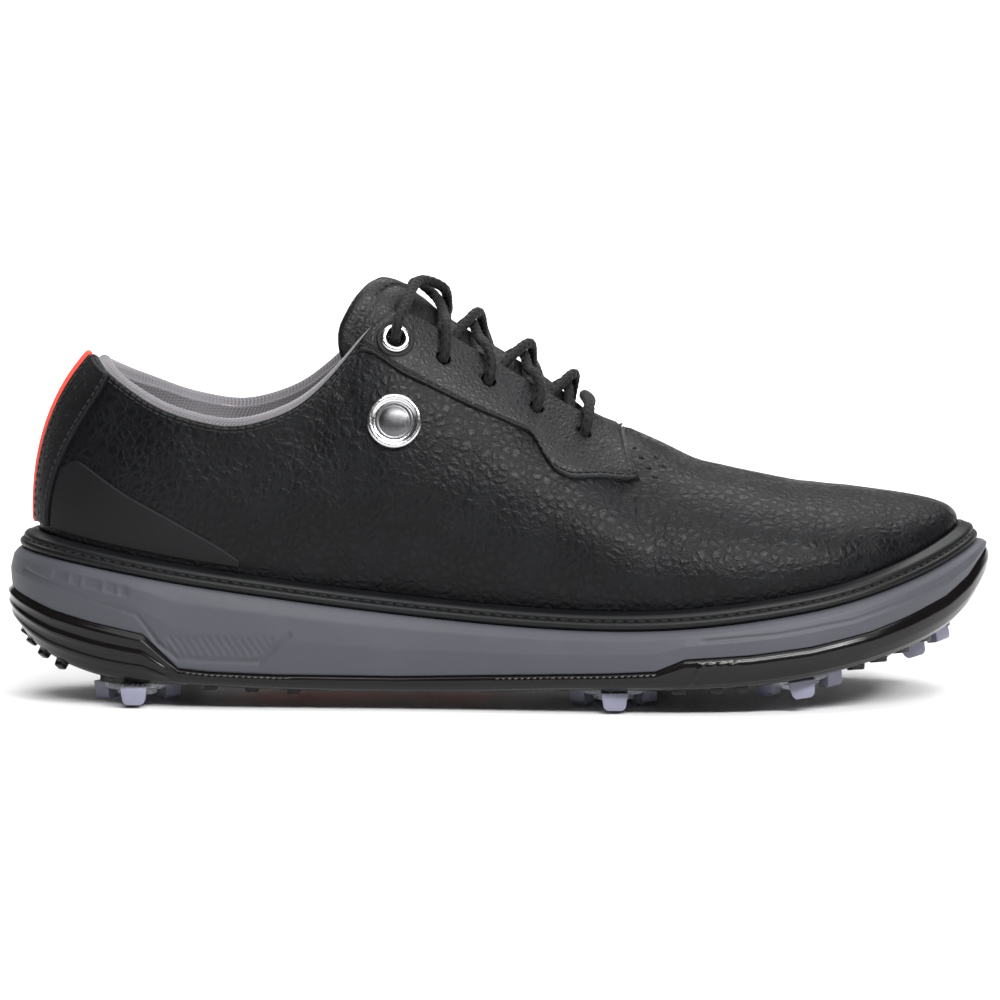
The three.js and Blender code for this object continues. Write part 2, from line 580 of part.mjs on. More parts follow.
// A closed slab between two matching grids of points.
function slab(top, base) {
  const soup = [];
  const [n, m] = [top.length - 1, top[0].length - 1];
  for (let i = 0; i < n; i++) {
    for (let j = 0; j < m; j++) {
      addQuad(soup, false, ...cell(top, i, j));
      addQuad(soup, true, ...cell(base, i, j));
    }
    addQuad(soup, false, base[i][0], base[i + 1][0], top[i + 1][0], top[i][0]);
    addQuad(soup, false, top[i][m], top[i + 1][m], base[i + 1][m], base[i][m]);
  }
  for (let j = 0; j < m; j++) {
    addQuad(soup, false, top[0][j], top[0][j + 1], base[0][j + 1], base[0][j]);
    addQuad(soup, false, base[n][j], base[n][j + 1], top[n][j + 1], top[n][j]);
  }
  return closedGeometry(soup);
}

// ---------------------------------------------------------------- layers of the upper
const UPPER_COLUMNS = [
  0, 0.6, 1.3, 2.2, 3.5, 5, 6.2, 7.2, 8.1, 9, 10, 11, 12, 13.2, 14.6, 16, 17, 18.4, 20, 21.3, 22.3, 22.75, 23,
];
const UPPER_ROWS = [0, 0.17, 0.34, 0.52, 0.7, 0.85, 1];
const PAD_END = 8.2; // stations with collar foam
const COUNTER_END = 5;
const PUFF_START = 20;
const padShare = (k, v) => smooth(v, 0.34, 0.72) * (1 - smooth(k, 7.2, 10.2));
const counterShare = (k, v) => (1 - smooth(v, 0.35, 0.52)) * (1 - smooth(k, COUNTER_END + 0.2, 7));
const puffShare = (k, v) => smooth(k, PUFF_START - 1.6, PUFF_START - 0.2) * (1 - smooth(v, 0.71, 0.88));
const underLeather = -LEATHER - GAP;
// Depth of the lining's outer face below the upper's surface.
const liningDepth = (k, v) => LEATHER + GAP + Math.max(
  (COLLAR_PAD + 2 * GAP) * padShare(k, v),
  (STIFFENER + GAP) * Math.max(counterShare(k, v), puffShare(k, v)),
);
const collarShare = (k) => 1 - smooth(k, 8.6, 10.6);
const COLLAR_ROLL = 2.2; // how far the lining stands above the leather's edge

// Joins lateral and medial grids of outer and inner points into one shell, open along the throat.
function shell(outerAt, innerAt) {
  const grids = ["lateral", "medial"].map((side) => ({
    outer: UPPER_COLUMNS.map((k) => outerAt(side, k)),
    inner: UPPER_COLUMNS.map((k) => innerAt(side, k)),
  }));
  const [lateral, medial] = grids;
  UPPER_COLUMNS.forEach((k, i) => {
    for (const face of ["outer", "inner"]) {
      if (k === 0 || k === LAST) medial[face][i] = lateral[face][i];
      else if (k >= THROAT) medial[face][i][medial[face][i].length - 1] = lateral[face][i].at(-1);
    }
  });
  const soup = [];
  grids.forEach(({ outer, inner }, side) => {
    const flip = side === 1;
    const m = outer[0].length - 1;
    for (let i = 0; i < UPPER_COLUMNS.length - 1; i++) {
      for (let j = 0; j < m; j++) {
        addQuad(soup, flip, ...cell(outer, i, j));
        addQuad(soup, !flip, ...cell(inner, i, j));
      }
      addQuad(soup, flip, inner[i][0], inner[i + 1][0], outer[i + 1][0], outer[i][0]);
      if (UPPER_COLUMNS[i] < THROAT) {
        addQuad(soup, flip, outer[i][m], outer[i + 1][m], inner[i + 1][m], inner[i][m]);
      }
    }
  });
  return closedGeometry(soup);
}

const MARGIN = 12; // lasting margin turned under the board
const marginZ = (x) => cupFloor(x) + CUP_GAP;
const marginTop = (x) => marginZ(x) + LEATHER;
const boardZ = (x) => marginTop(x) + GAP;
const boardTop = (x) => boardZ(x) + BOARD;
const sockZ = (x) => boardTop(x) + GAP;

function leatherShell() {
  const outer = (side, k) => {
    const t = columnParameter(k);
    return [
      level(side, t, FEATHER_INSET + MARGIN, marginZ), level(side, t, FEATHER_INSET, marginZ),
      ...UPPER_ROWS.map((v) => surfacePoint(side, k, v)),
    ];
  };
  const inner = (side, k) => {
    const t = columnParameter(k);
    return [
      level(side, t, FEATHER_INSET + MARGIN, marginTop), level(side, t, FEATHER_INSET + LEATHER, marginTop),
      ...UPPER_ROWS.map((v) => offsetPoint(side, k, v, -LEATHER)),
    ];
  };
  return shell(outer, inner);
}

function liningShell() {
  const rows = (side, k, extra) => {
    const t = columnParameter(k);
    const depth = (v) => -(liningDepth(k, v) + extra);
    const body = UPPER_ROWS.map((v) => offsetPoint(side, k, v, depth(v)));
    const foot = level(side, t, FEATHER_INSET - depth(0), sockZ);
    const share = k >= THROAT ? 0 : collarShare(k);
    const top = surfacePoint(side, k, 1);
    const tangent = lineAt(side, k).getTangent(1);
    const n = surfaceNormal(side, k, 1);
    const roll = (height, offset) => body.at(-1).clone().lerp(
      top.clone().addScaledVector(tangent, height).addScaledVector(n, offset), share);
    const thick = extra > 0 ? -COLLAR_PAD - LEATHER : 0;
    return [foot, ...body, roll(0.5, -1.0 + thick), roll(COLLAR_ROLL, -1.7 + thick * 0.65)];
  };
  return shell((side, k) => rows(side, k, 0), (side, k) => rows(side, k, LINING));
}

// Columns from the front of one side, round the heel, to the front of the other.
function roundHeel(end, rows) {
  const ks = UPPER_COLUMNS.filter((k) => k <= end);
  const strip = (side, list) => list.map((k) => rows.map((v) => ({ side, k, v })));
  return [...strip("lateral", [...ks].reverse()), ...strip("medial", ks.slice(1))];
}
function roundToe(start, rows) {
  const ks = UPPER_COLUMNS.filter((k) => k >= start);
  const strip = (side, list) => list.map((k) => rows.map((v) => ({ side, k, v })));
  return [...strip("lateral", ks), ...strip("medial", [...ks].reverse().slice(1))];
}

// ---------------------------------------------------------------- overlays
// Lower edge of the eyestay as seen from the side, [x, z], collar to toe corner.
const EYESTAY_EDGE = [
  [-43.6, 109.6], [-31.4, 104.0], [-18.8, 97.6], [-6.2, 91.6], [3.3, 87.4], [10.6, 83.2], [15.0, 75.6],
  [20.0, 71.8], [31.7, 70.9], [43.0, 70.6],
];
const EYESTAY_TOP = [9.05, 9.8, 10.6, 11.4, 12.2, 13, 13.8, 14.6, 15.4, 16.2];
// Upper edge of the heel film, [x, z], from the backstay forwards and down to the welt.
const FILM_EDGE = [
  [-136.4, 73.0], [-132.0, 75.6], [-124.0, 71.4], [-112.0, 64.0], [-98.0, 56.6], [-87.0, 50.4], [-80.0, 45.6],
];
const BACKSTAY_END = 1.3; // station where the backstay's strip ends
const FILM_START = 0.08; // stations from the backstay to the film
const BADGE_PLACE = [-32.3, 89.0];

function eyestayGrid(side) {
  return EYESTAY_EDGE.map(([x, z], i) => {
    const low = locate(side, x, z);
    const high = { k: EYESTAY_TOP[i], v: 0.985 };
    return [0, 0.25, 0.5, 0.75, 1].map((r) => ({
      side,
      k: THREE.MathUtils.lerp(low.k, high.k, r),
      v: THREE.MathUtils.lerp(low.v, high.v, r),
    }));
  });
}
function filmGrid(side) {
  return FILM_EDGE.map(([x, z], i) => {
    const high = locate(side, x, z);
    const k = i ? high.k : BACKSTAY_END + FILM_START; // it begins at the backstay's edge
    return [0, 0.5, 1].map((r) => ({ side, k, v: THREE.MathUtils.lerp(0.04, Math.max(high.v, 0.09), r) }));
  });
}

// ---------------------------------------------------------------- lace holes and eyelets
// Hole centres as seen from the side, [x, z], from the top pair down.
const HOLES = [[-32.3, 113.4], [-17.8, 107.0], [-3.9, 100.0], [10.9, 91.6], [25.6, 83.6]];
const EYELET_FLARE = 1.4; // how far the eyelet's rolled edge stands in behind the wall
const EYELET_SIDES = 12;
const wallHigh = GAP + OVERLAY;
const wallLow = -(LEATHER + GAP + LINING);
const wallMiddle = (wallHigh + wallLow) / 2;
const bendRadius = (wallHigh - wallLow) / 2 + LACE_RADIUS + 3 * GAP;

function holeFrames(side) {
  return HOLES.map(([x, z]) => {
    const { k, v } = locate(side, x, z);
    const normal = surfaceNormal(side, k, v);
    const centre = surfacePoint(side, k, v).addScaledVector(normal, wallMiddle);
    const edge = surfacePoint(side, k, 1).sub(surfacePoint(side, k, v));
    const toEdge = edge.addScaledVector(normal, -edge.dot(normal)).normalize();
    return { side, k, v, normal, centre, toEdge };
  });
}
function alongNormal(frame) {
  const q = new THREE.Quaternion().setFromUnitVectors(new THREE.Vector3(0, 0, 1), frame.normal);
  return new THREE.Matrix4().makeRotationFromQuaternion(q).setPosition(frame.centre);
}
const HOLE_SIDES = 8;
const HOLE_PLAY = 0.345; // a hole's clearance round the lace, as a share of the lace's bend
// Lace holes: a punched one is set towards the facing's edge by half the width of the lace's bend.
function holeCutters(frames) {
  const half = (wallHigh - wallLow) / 2;
  const sway = bendRadius - Math.sqrt(bendRadius ** 2 - half ** 2);
  return frames.map((f, i) => {
    const radius = i ? (LACE_RADIUS + HOLE_PLAY * bendRadius) / Math.cos(Math.PI / HOLE_SIDES)
      : EYELET_BORE + EYELET_WALL + GAP;
    const centre = f.centre.clone().addScaledVector(f.toEdge, i ? sway * 0.6 : 0);
    return drum(radius, -6, 6, HOLE_SIDES).applyMatrix4(alongNormal({ normal: f.normal, centre }));
  });
}
function eyeletGeometry() {
  const [high, low] = [wallHigh - wallMiddle, wallLow - wallMiddle];
  const bore = EYELET_BORE;
  const profile = [
    [bore, high + 0.9], [bore + 0.5, high + 1.2], [bore + 1.6, high + 0.9], [bore + 1.9, high + GAP],
    [bore + EYELET_WALL, high + GAP], [bore + EYELET_WALL, low - 0.9], [bore + 1.0, low - 0.9],
    [bore + 0.8, low - EYELET_FLARE], [bore, low - EYELET_FLARE],
  ].map(([r, z]) => new THREE.Vector2(r, z)).reverse();
  profile.push(profile[0].clone());
  return closedGeometry(soupOf(new THREE.LatheGeometry(profile, EYELET_SIDES).rotateX(Math.PI / 2)));
}

// ---------------------------------------------------------------- tongue
const TONGUE_DEPTH = -wallLow + 3 * GAP + 2 * LACE_RADIUS + 2; // below the upper's surface, clear of the lace
const TONGUE_BULGE = 2.4; // how much its shoulders round out towards the top
const TONGUE_BASE_DEPTH = -wallLow + 2 * GAP; // where it is sewn in
// Crest of the tongue from its stitched base to its top: [x, z, station of the sides].
const TONGUE_CREST = [
  [54, 73.6, 17.8], [47, 77.2, 17.3], [38, 80.2, 16.4], [28, 89.4, 15.3], [16, 99.2, 14.3], [3, 107.6, 13.5],
  [-10, 115.3, 12.8], [-19, 121.2, 12.1], [-26, 127.0, 11.4], [-31.6, 131.2, 10.8],
];
const TONGUE_SIDE = [0.86, 0.84, 0.82, 0.8, 0.8, 0.8, 0.8, 0.82];
const TONGUE_WING = [0.74, 0.7, 0.66, 0.64, 0.63, 0.63, 0.64, 0.68];
const TONGUE_DROP = [0, 0.35, 1.15, 1.6, 1.3, 1, 1, 1]; // from the base depth to the full depth
// Free top of the tongue above the collar: side and wing points as [x, half width, z].
const TONGUE_FREE = [
  { side: [-33.0, 16.5, 121.6], wing: [-45.0, 20.4, 110.0] },
  { side: [-38.0, 15.6, 127.0], wing: [-50.4, 20.2, 118.4] },
];
const TONGUE_COLUMNS = 12;
const TONGUE_LEATHER = 1.1;
const TONGUE_FOAM = [1.5, 2, 2.6, 3.2, 3.8, 4.2, 4.6, 5, 5.2, 4.6];

function tongueGrid() {
  return TONGUE_CREST.map(([x, z, k], i) => {
    const centre = new THREE.Vector3(x * KX, crestY(x) * KY, z * KZ);
    const half = (side) => {
      if (i < TONGUE_SIDE.length) {
        const depth = THREE.MathUtils.lerp(TONGUE_BASE_DEPTH, TONGUE_DEPTH, TONGUE_DROP[i]);
        return [TONGUE_SIDE[i], TONGUE_WING[i]].map((v) => offsetPoint(side, k, v, -depth));
      }
      const free = TONGUE_FREE[i - TONGUE_SIDE.length];
      return [free.side, free.wing].map(([fx, fy, fz]) =>
        new THREE.Vector3(fx * KX, SIDE_SIGN[side] * fy * KY, fz * KZ));
    };
    const shoulder = (side, edge) => {
      const along = centre.clone().sub(edge);
      const out = new THREE.Vector3(0, SIDE_SIGN[side] * along.z, -SIDE_SIGN[side] * along.y).normalize();
      return edge.clone().lerp(centre, 0.5).addScaledVector(out, TONGUE_BULGE * smooth(i, 1, 6) + 1);
    };
    const [ls, lw] = half("lateral");
    const [ms, mw] = half("medial");
    const section = [lw, ls, shoulder("lateral", ls), centre, shoulder("medial", ms), ms, mw];
    return new THREE.CatmullRomCurve3(section, false, "centripetal").getPoints(TONGUE_COLUMNS);
  });
}
// Normals of a grid of points, evened out over their neighbours so that layers stay apart.
function gridNormals(grid) {
  const [n, m] = [grid.length - 1, grid[0].length - 1];
  const clampRow = (i) => THREE.MathUtils.clamp(i, 0, n);
  const clampColumn = (j) => THREE.MathUtils.clamp(j, 0, m);
  const raw = grid.map((row, i) => row.map((_, j) => {
    const along = grid[clampRow(i + 1)][j].clone().sub(grid[clampRow(i - 1)][j]);
    const across = grid[i][clampColumn(j + 1)].clone().sub(grid[i][clampColumn(j - 1)]);
    return new THREE.Vector3().crossVectors(across, along).normalize();
  }));
  const near = [-1, 0, 1];
  return raw.map((row, i) => row.map((_, j) => {
    const sum = new THREE.Vector3();
    for (const di of near) for (const dj of near) sum.add(raw[clampRow(i + di)][clampColumn(j + dj)]);
    return sum.normalize();
  }));
}
function buildTongue() {
  const grid = tongueGrid();
  const normals = gridNormals(grid);
  const layer = (depthAt) => grid.map((row, i) => row.map((p, j) => p.clone().addScaledVector(normals[i][j], -depthAt(i, j))));
  const edge = (j) => Math.min(1, 0.35 + 0.2 * Math.min(j, TONGUE_COLUMNS - j)); // the foam thins at its edges
  const foamTop = TONGUE_LEATHER + GAP;
  const foamBase = (i, j) => foamTop + TONGUE_FOAM[i] * edge(j);
  addMesh("tongue_leather", slab(layer(() => 0), layer(() => TONGUE_LEATHER)), "leather");
  addMesh("tongue_foam", slab(layer(() => foamTop), layer(foamBase)), "foam");
  addMesh("tongue_lining", slab(layer((i, j) => foamBase(i, j) + GAP), layer((i, j) => foamBase(i, j) + GAP + 0.7)), "lining");
}

// ---------------------------------------------------------------- pieces on and in the upper
// The upper's outside grown by the gap, to cut what lies on it to its shape.
const grownUpper = () => shell(
  (side, k) => UPPER_ROWS.map((v) => offsetPoint(side, k, v, GAP)),
  (side, k) => UPPER_ROWS.map((v) => offsetPoint(side, k, v, -2 * LEATHER)),
);
const EMBED = 0.6 * LEATHER; // how far an overlay reaches into the grown upper before it is cut
// Cuts an overlay to the upper and keeps its body, without the slivers left under it.
function onUpper(geometry, upper, others = []) {
  const bodies = toSolid(cut(geometry, [upper, ...others])).decompose();
  return toGeometry(bodies.reduce((a, b) => (a.volume() > b.volume() ? a : b)));
}

function pipingTube(radius) {
  const centre = [0.03, 0.2, 0.4, 0.6, 0.8, 0.985].map((v) => offsetPoint("lateral", 0, v, GAP + PIPING_RADIUS));
  const shape = new THREE.Shape().absarc(0, 0, radius, 0, Math.PI * 2);
  return new THREE.ExtrudeGeometry(shape, {
    steps: 10, curveSegments: 4, bevelEnabled: false, extrudePath: new THREE.CatmullRomCurve3(centre),
  });
}
function badgeGeometry() {
  const { side, k, v } = locate("lateral", ...BADGE_PLACE);
  const profile = [
    [0, -EMBED], [BADGE_RADIUS, -EMBED], [BADGE_RADIUS, 1.1], [BADGE_RADIUS - 0.8, 1.9],
    [BADGE_RADIUS - 2, 1.9], [BADGE_RADIUS - 2.6, 1.3], [0, 2.1],
  ].map(([r, z]) => new THREE.Vector2(r, z));
  const disc = closedGeometry(soupOf(new THREE.LatheGeometry(profile, 16).rotateX(Math.PI / 2)));
  const normal = surfaceNormal(side, k, v);
  return disc.applyMatrix4(alongNormal({ normal, centre: surfacePoint(side, k, v) }));
}

function collarFoam() {
  const grid = roundHeel(PAD_END, UPPER_ROWS.filter((v) => v > 0.5));
  const face = (offset) => grid.map((row) => {
    const points = row.map((g) => offsetPoint(g.side, g.k, g.v, offset(g.k, g.v)));
    points.at(-1).lerp(points.at(-2), 0.12); // stops short of the leather's edge
    return points;
  });
  return slab(face(() => underLeather - GAP / 2), face((k, v) => 1.5 * GAP - liningDepth(k, v)));
}

function buildUpper() {
  const holes = ["lateral", "medial"].flatMap((side) => holeCutters(holeFrames(side)));
  const grown = grownUpper();
  addMesh("upper_leather", cut(leatherShell(), holes), "leather");
  addMesh("lining", cut(liningShell(), holes), "lining");

  const counterRows = UPPER_ROWS.filter((v) => v < 0.35);
  const stiffener = [underLeather - STIFFENER, underLeather];
  addMesh("heel_counter", plate(roundHeel(COUNTER_END, counterRows), ...stiffener), "stiffener");
  const puffRows = UPPER_ROWS.filter((v) => v < 0.71);
  const puff = stiffener.map((offset) => offset - GAP / 2); // it leaves the leather's tighter bends some room
  addMesh("toe_puff", plate(roundToe(PUFF_START, puffRows), ...puff), "stiffener");
  addMesh("collar_foam", collarFoam(), "foam");

  const tube = pipingTube(PIPING_RADIUS + GAP);
  const backRows = [0.03, 0.2, 0.4, 0.6, 0.8, 0.985];
  for (const side of ["lateral", "medial"]) {
    const strip = [0.03, 0.5, 0.9, BACKSTAY_END].map((k) => backRows.map((v) => ({ side, k, v })));
    const overlay = (grid, thickness) => plate(grid, -EMBED, GAP + thickness);
    addMesh("backstay_" + side, onUpper(overlay(strip, OVERLAY), grown, [tube]), "eyestay");
    addMesh("heel_film_" + side, onUpper(overlay(filmGrid(side), FILM), grown), "film");
    const own = holeCutters(holeFrames(side));
    addMesh("eyestay_" + side, onUpper(overlay(eyestayGrid(side), OVERLAY), grown, own), "eyestay");
    const [top] = holeFrames(side);
    addMesh("eyelet_" + side, eyeletGeometry(), "metal", alongNormal(top));
  }
  addMesh("heel_piping", pipingTube(PIPING_RADIUS), "red");
  addMesh("badge", onUpper(badgeGeometry(), grown), "metal");
}

// Lasting board and footbed: columns shared with the upper so that their edges follow it.
function buildFootbed() {
  const piece = (profileAt) => ringGeometry(UPPER_COLUMNS.map((k) => soleRing(columnParameter(k), profileAt(k))));
  const boardInset = FEATHER_INSET + LEATHER + GAP;
  addMesh("lasting_board", piece(() => [[boardInset, boardZ], [boardInset, boardTop]]), "board");
  const cup = (k) => CUP_EDGE * (1 - smooth(featherX(k), 0, 50));
  const sockTop = (x) => sockZ(x) + SOCKLINER;
  addMesh("sockliner", piece((k) => {
    const inset = FEATHER_INSET + liningDepth(k, 0) + LINING + GAP + TOE_EASE * smooth(featherX(k), 60, 125);
    const edge = (x) => sockTop(x) + cup(k);
    return [[inset, sockZ], [inset + 0.5, edge], [inset + 1.7, edge], [inset + 6, sockTop]];
  }), "footbed");
}

// ---------------------------------------------------------------- lace
const EDGE_LIFT = wallHigh + LACE_RADIUS + 2 * GAP; // centre of the lace over the facing's edge
const CROSSING_LIFT = 2 * LACE_RADIUS + 2 * GAP; // upper strand over the lower one
const TAIL_STATIONS = [8.9, 8.2, 7.4, 6.6, 5.8, 5, 4.4];
const AGLET_LENGTH = 18;
// The lace bends less where it passes the metal eyelet: as much as the eyelet's length lets it.
const eyeletHalf = (wallHigh - wallLow) / 2 + EYELET_FLARE;
const EYELET_SWAY = 0.67; // how far the lace moves aside inside the eyelet
const EYELET_BEND = (eyeletHalf ** 2 + EYELET_SWAY ** 2) / (2 * EYELET_SWAY);

function laceRoute() {
  const frames = { lateral: holeFrames("lateral"), medial: holeFrames("medial") };
  const other = { lateral: "medial", medial: "lateral" };
  const surface = tongueGrid();
  const normals = gridNormals(surface);
  // Centre of the lace on the tongue: station k down its length, u from -1 lateral to 1 medial.
  const onTongue = (k, u, lift = 0) => {
    const rows = TONGUE_CREST.map((row) => row[2]);
    const next = THREE.MathUtils.clamp(rows.findIndex((v) => v <= k), 1, rows.length - 1);
    const down = THREE.MathUtils.clamp((rows[next - 1] - k) / (rows[next - 1] - rows[next]), 0, 1);
    const across = (u + 1) / 2 * TONGUE_COLUMNS;
    const j = Math.min(TONGUE_COLUMNS - 1, Math.floor(across));
    const mix = (grid) => grid[next - 1][j].clone().lerp(grid[next - 1][j + 1], across - j)
      .lerp(grid[next][j].clone().lerp(grid[next][j + 1], across - j), down);
    const clear = LACE_RADIUS + (Math.abs(u) < 0.4 ? 3.5 : 1.5) * GAP;
    return mix(surface).addScaledVector(mix(normals), clear + lift);
  };
  const overEdge = (side, k) => offsetPoint(side, k, 1, EDGE_LIFT);
  // Round the facing's edge side of a hole, from above (90) through the hole (0) to beneath (-90).
  const arc = (frame, angles, bend = bendRadius, turn = 1) => angles.map((degrees) => {
    const a = radians(degrees);
    return frame.centre.clone()
      .addScaledVector(frame.toEdge, turn * bend * (1 - Math.cos(a)))
      .addScaledVector(frame.normal, bend * Math.sin(a));
  });
  const down = [90, 45, 0, -45, -90];
  const upwards = [...down].reverse();
  // From hole a to hole b across the tongue; each end runs over the facing's edge or beneath it.
  const strand = (a, b, lift, fromAbove, intoAbove) => {
    const k = (share) => THREE.MathUtils.lerp(a.k, b.k, share);
    const sign = SIDE_SIGN[b.side];
    return [
      fromAbove ? overEdge(a.side, k(0.1)) : onTongue(k(0.12), -0.42 * sign),
      onTongue(k(0.3), -0.2 * sign, fromAbove ? lift / 2 + 1.2 : lift / 3),
      onTongue(k(0.5), 0, lift),
      onTongue(k(0.7), 0.2 * sign, intoAbove ? lift / 2 + 1.2 : lift / 3),
      intoAbove ? overEdge(b.side, k(0.9)) : onTongue(k(0.88), 0.42 * sign),
    ];
  };
  const tail = (side) => {
    const eyelet = frames[side][0];
    const wall = [[10.8, 0.58], [10.5, 0.47], [10.1, 0.34], [9.6, 0.2]].map(([k, v]) =>
      offsetPoint(side, k, v, -(liningDepth(k, v) + LINING + LACE_RADIUS + 3 * GAP)));
    const floor = TAIL_STATIONS.map((k, i) => {
      const inset = i ? 24 : 21;
      const rest = (x) => sockZ(x) + SOCKLINER + LACE_RADIUS + 2 * GAP + (i ? 0 : 4);
      return level(side, columnParameter(k), inset, rest);
    });
    return [...arc(eyelet, [-14, -30], EYELET_BEND, -1), ...wall, ...floor];
  };
  const half = (side, over) => {
    const points = arc(frames[side][4], down);
    let from = frames[side][4];
    [3, 2, 1, 0].forEach((row, i) => {
      const to = frames[from.side === side ? other[side] : side][row];
      const lift = (i + over) % 2 ? CROSSING_LIFT : 0;
      points.push(...strand(from, to, lift, i > 0, row === 0));
      points.push(...(row ? arc(to, upwards) : arc(to, [75, 48, 22, 0], EYELET_BEND)));
      from = to;
    });
    return [...points, ...tail(from.side)];
  };
  const [left, right] = [frames.lateral[4], frames.medial[4]];
  const bar = [overEdge("lateral", left.k), onTongue(left.k, 0, 0.6), overEdge("medial", right.k)];
  return [...half("lateral", 0).reverse(), ...bar, ...half("medial", 1)];
}
// A spline whose steps fall on its own points.
class Route extends THREE.CatmullRomCurve3 {
  getUtoTmapping(u) {
    return u;
  }
}
function buildLace() {
  const points = laceRoute();
  const round = (radius) => new THREE.Shape().absarc(0, 0, radius, 0, Math.PI * 2);
  const tube = new THREE.ExtrudeGeometry(round(LACE_RADIUS), {
    steps: points.length - 1, curveSegments: 4, bevelEnabled: false,
    extrudePath: new Route(points, false, "centripetal"),
  });
  addMesh("lace", closedGeometry(soupOf(tube)), "lace");
  for (const [side, end, before] of [["lateral", points[0], points[1]], ["medial", points.at(-1), points.at(-2)]]) {
    const along = end.clone().sub(before).normalize();
    const start = end.clone().addScaledVector(along, GAP);
    const q = new THREE.Quaternion().setFromUnitVectors(new THREE.Vector3(0, 0, 1), along);
    const place = new THREE.Matrix4().makeRotationFromQuaternion(q).setPosition(start);
    addMesh("aglet_" + side, drum(LACE_RADIUS + 0.15, 0, AGLET_LENGTH, 10), "aglet", place);
  }
}

buildSole();
buildWelt();
buildCleats();
buildUpper();
buildFootbed();
buildTongue();
buildLace();

// The origin is under the middle of the shoe's box, at the tips of the cleats it stands on.
const box = new THREE.Box3().setFromObject(shoe);
const middle = box.getCenter(new THREE.Vector3());
shoe.position.set(-middle.x, -middle.y, -box.min.z);
export default shoe;
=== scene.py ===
"""Looks of a laced golf shoe for the right foot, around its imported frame.

The shape curves are in millimetres, the studio is in metres.
"""
import math

import bmesh
import bpy
import numpy as np
from mathutils import Matrix, Vector, noise


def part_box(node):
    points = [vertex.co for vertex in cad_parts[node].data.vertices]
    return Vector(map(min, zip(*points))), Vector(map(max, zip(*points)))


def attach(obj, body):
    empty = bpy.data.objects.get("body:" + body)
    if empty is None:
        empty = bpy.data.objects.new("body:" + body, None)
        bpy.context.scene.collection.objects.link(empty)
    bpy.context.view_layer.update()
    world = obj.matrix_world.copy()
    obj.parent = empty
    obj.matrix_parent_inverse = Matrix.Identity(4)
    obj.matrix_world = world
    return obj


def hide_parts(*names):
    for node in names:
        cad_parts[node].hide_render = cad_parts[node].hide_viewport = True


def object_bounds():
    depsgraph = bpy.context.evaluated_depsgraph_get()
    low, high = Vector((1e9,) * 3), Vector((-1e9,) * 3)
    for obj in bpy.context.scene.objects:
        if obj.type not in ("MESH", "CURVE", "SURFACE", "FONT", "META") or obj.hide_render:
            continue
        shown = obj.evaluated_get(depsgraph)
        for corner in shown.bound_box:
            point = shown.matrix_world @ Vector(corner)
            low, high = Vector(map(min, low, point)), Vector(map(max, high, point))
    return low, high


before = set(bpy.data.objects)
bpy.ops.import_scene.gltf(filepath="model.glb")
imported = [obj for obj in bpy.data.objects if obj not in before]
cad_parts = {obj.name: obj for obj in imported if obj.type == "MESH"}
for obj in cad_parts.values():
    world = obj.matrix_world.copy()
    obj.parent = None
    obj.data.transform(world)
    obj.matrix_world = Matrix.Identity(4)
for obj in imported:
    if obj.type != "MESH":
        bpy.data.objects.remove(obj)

CAD_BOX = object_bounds()
MM = 0.001
SHOE = "shoe"
SIDES = ("lateral", "medial")
SIGN = {"lateral": -1, "medial": 1}
OTHER = {"lateral": "medial", "medial": "lateral"}

# ---------------------------------------------------------------- sizes shared with the frame
LEATHER = 1.6
OVERLAY = 1.1
FILM = 0.5
LINING = 0.9
COLLAR_PAD = 4.5
STIFFENER = 1.2
WELT_HEIGHT = 5.8
BOARD = 1.6
SOCKLINER = 4.2
CUP_EDGE = 3.0
TOE_EASE = 3.0
OUTSOLE_PLATE = 3.2
OUTSOLE_WALL = 2.0
LUG_DEPTH = 2.6
CLEAT_RADIUS = 14.0
CLEAT_DROP = 7.5
STEM_RADIUS = 4.6
RECEPTACLE_RADIUS = 8.0
RECEPTACLE_DEPTH = 6.2
LACE_RADIUS = 1.6
EYELET_BORE = 2.6
EYELET_WALL = 0.45
PIPING_RADIUS = 0.9
BADGE_RADIUS = 8.5
GAP = 0.3
FEATHER_INSET = 10.0
CUP_GAP = 0.7
HALF = 155.0
TOE_Y = 7.0

# The frame is centred on its own box, so the middle of one receptacle gives the shift of the curves.
CLEAT_SITES = [
    ("heel_lateral", -113, -21, True), ("heel_medial", -109, 20, True), ("ball_lateral", 35, -34, True),
    ("ball_medial", 41, 24, True), ("fore_lateral", 92, -31, False), ("fore_medial", 96, 34, False),
    ("toe", 129, 6, False),
]
_low, _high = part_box("receptacle_heel_lateral")
SHIFT = np.array([
    (_low.x + _high.x) / 2 / MM - CLEAT_SITES[0][1],
    (_low.y + _high.y) / 2 / MM - CLEAT_SITES[0][2],
    0.0,
])


# ---------------------------------------------------------------- curves
def spline(points):
    """Natural cubic spline through (x, y) points, over arrays."""
    x, y = np.array(points, float).T
    n = len(x) - 1
    h = np.diff(x)
    system = np.eye(n + 1)
    right = np.zeros(n + 1)
    for i in range(1, n):
        system[i, i - 1:i + 2] = h[i - 1], 2 * (h[i - 1] + h[i]), h[i]
        right[i] = 6 * ((y[i + 1] - y[i]) / h[i] - (y[i] - y[i - 1]) / h[i - 1])
    second = np.linalg.solve(system, right)

    def value(at):
        i = np.clip(np.searchsorted(x, at, side="right") - 1, 0, n - 1)
        a = (x[i + 1] - at) / h[i]
        b = 1 - a
        bend = ((a ** 3 - a) * second[i] + (b ** 3 - b) * second[i + 1]) * h[i] ** 2 / 6
        return a * y[i] + b * y[i + 1] + bend

    return value


def polyline(points):
    """Straight stretches through (x, y) points, over arrays."""
    x, y = np.array(points, float).T
    return lambda at: np.interp(at, x, y)


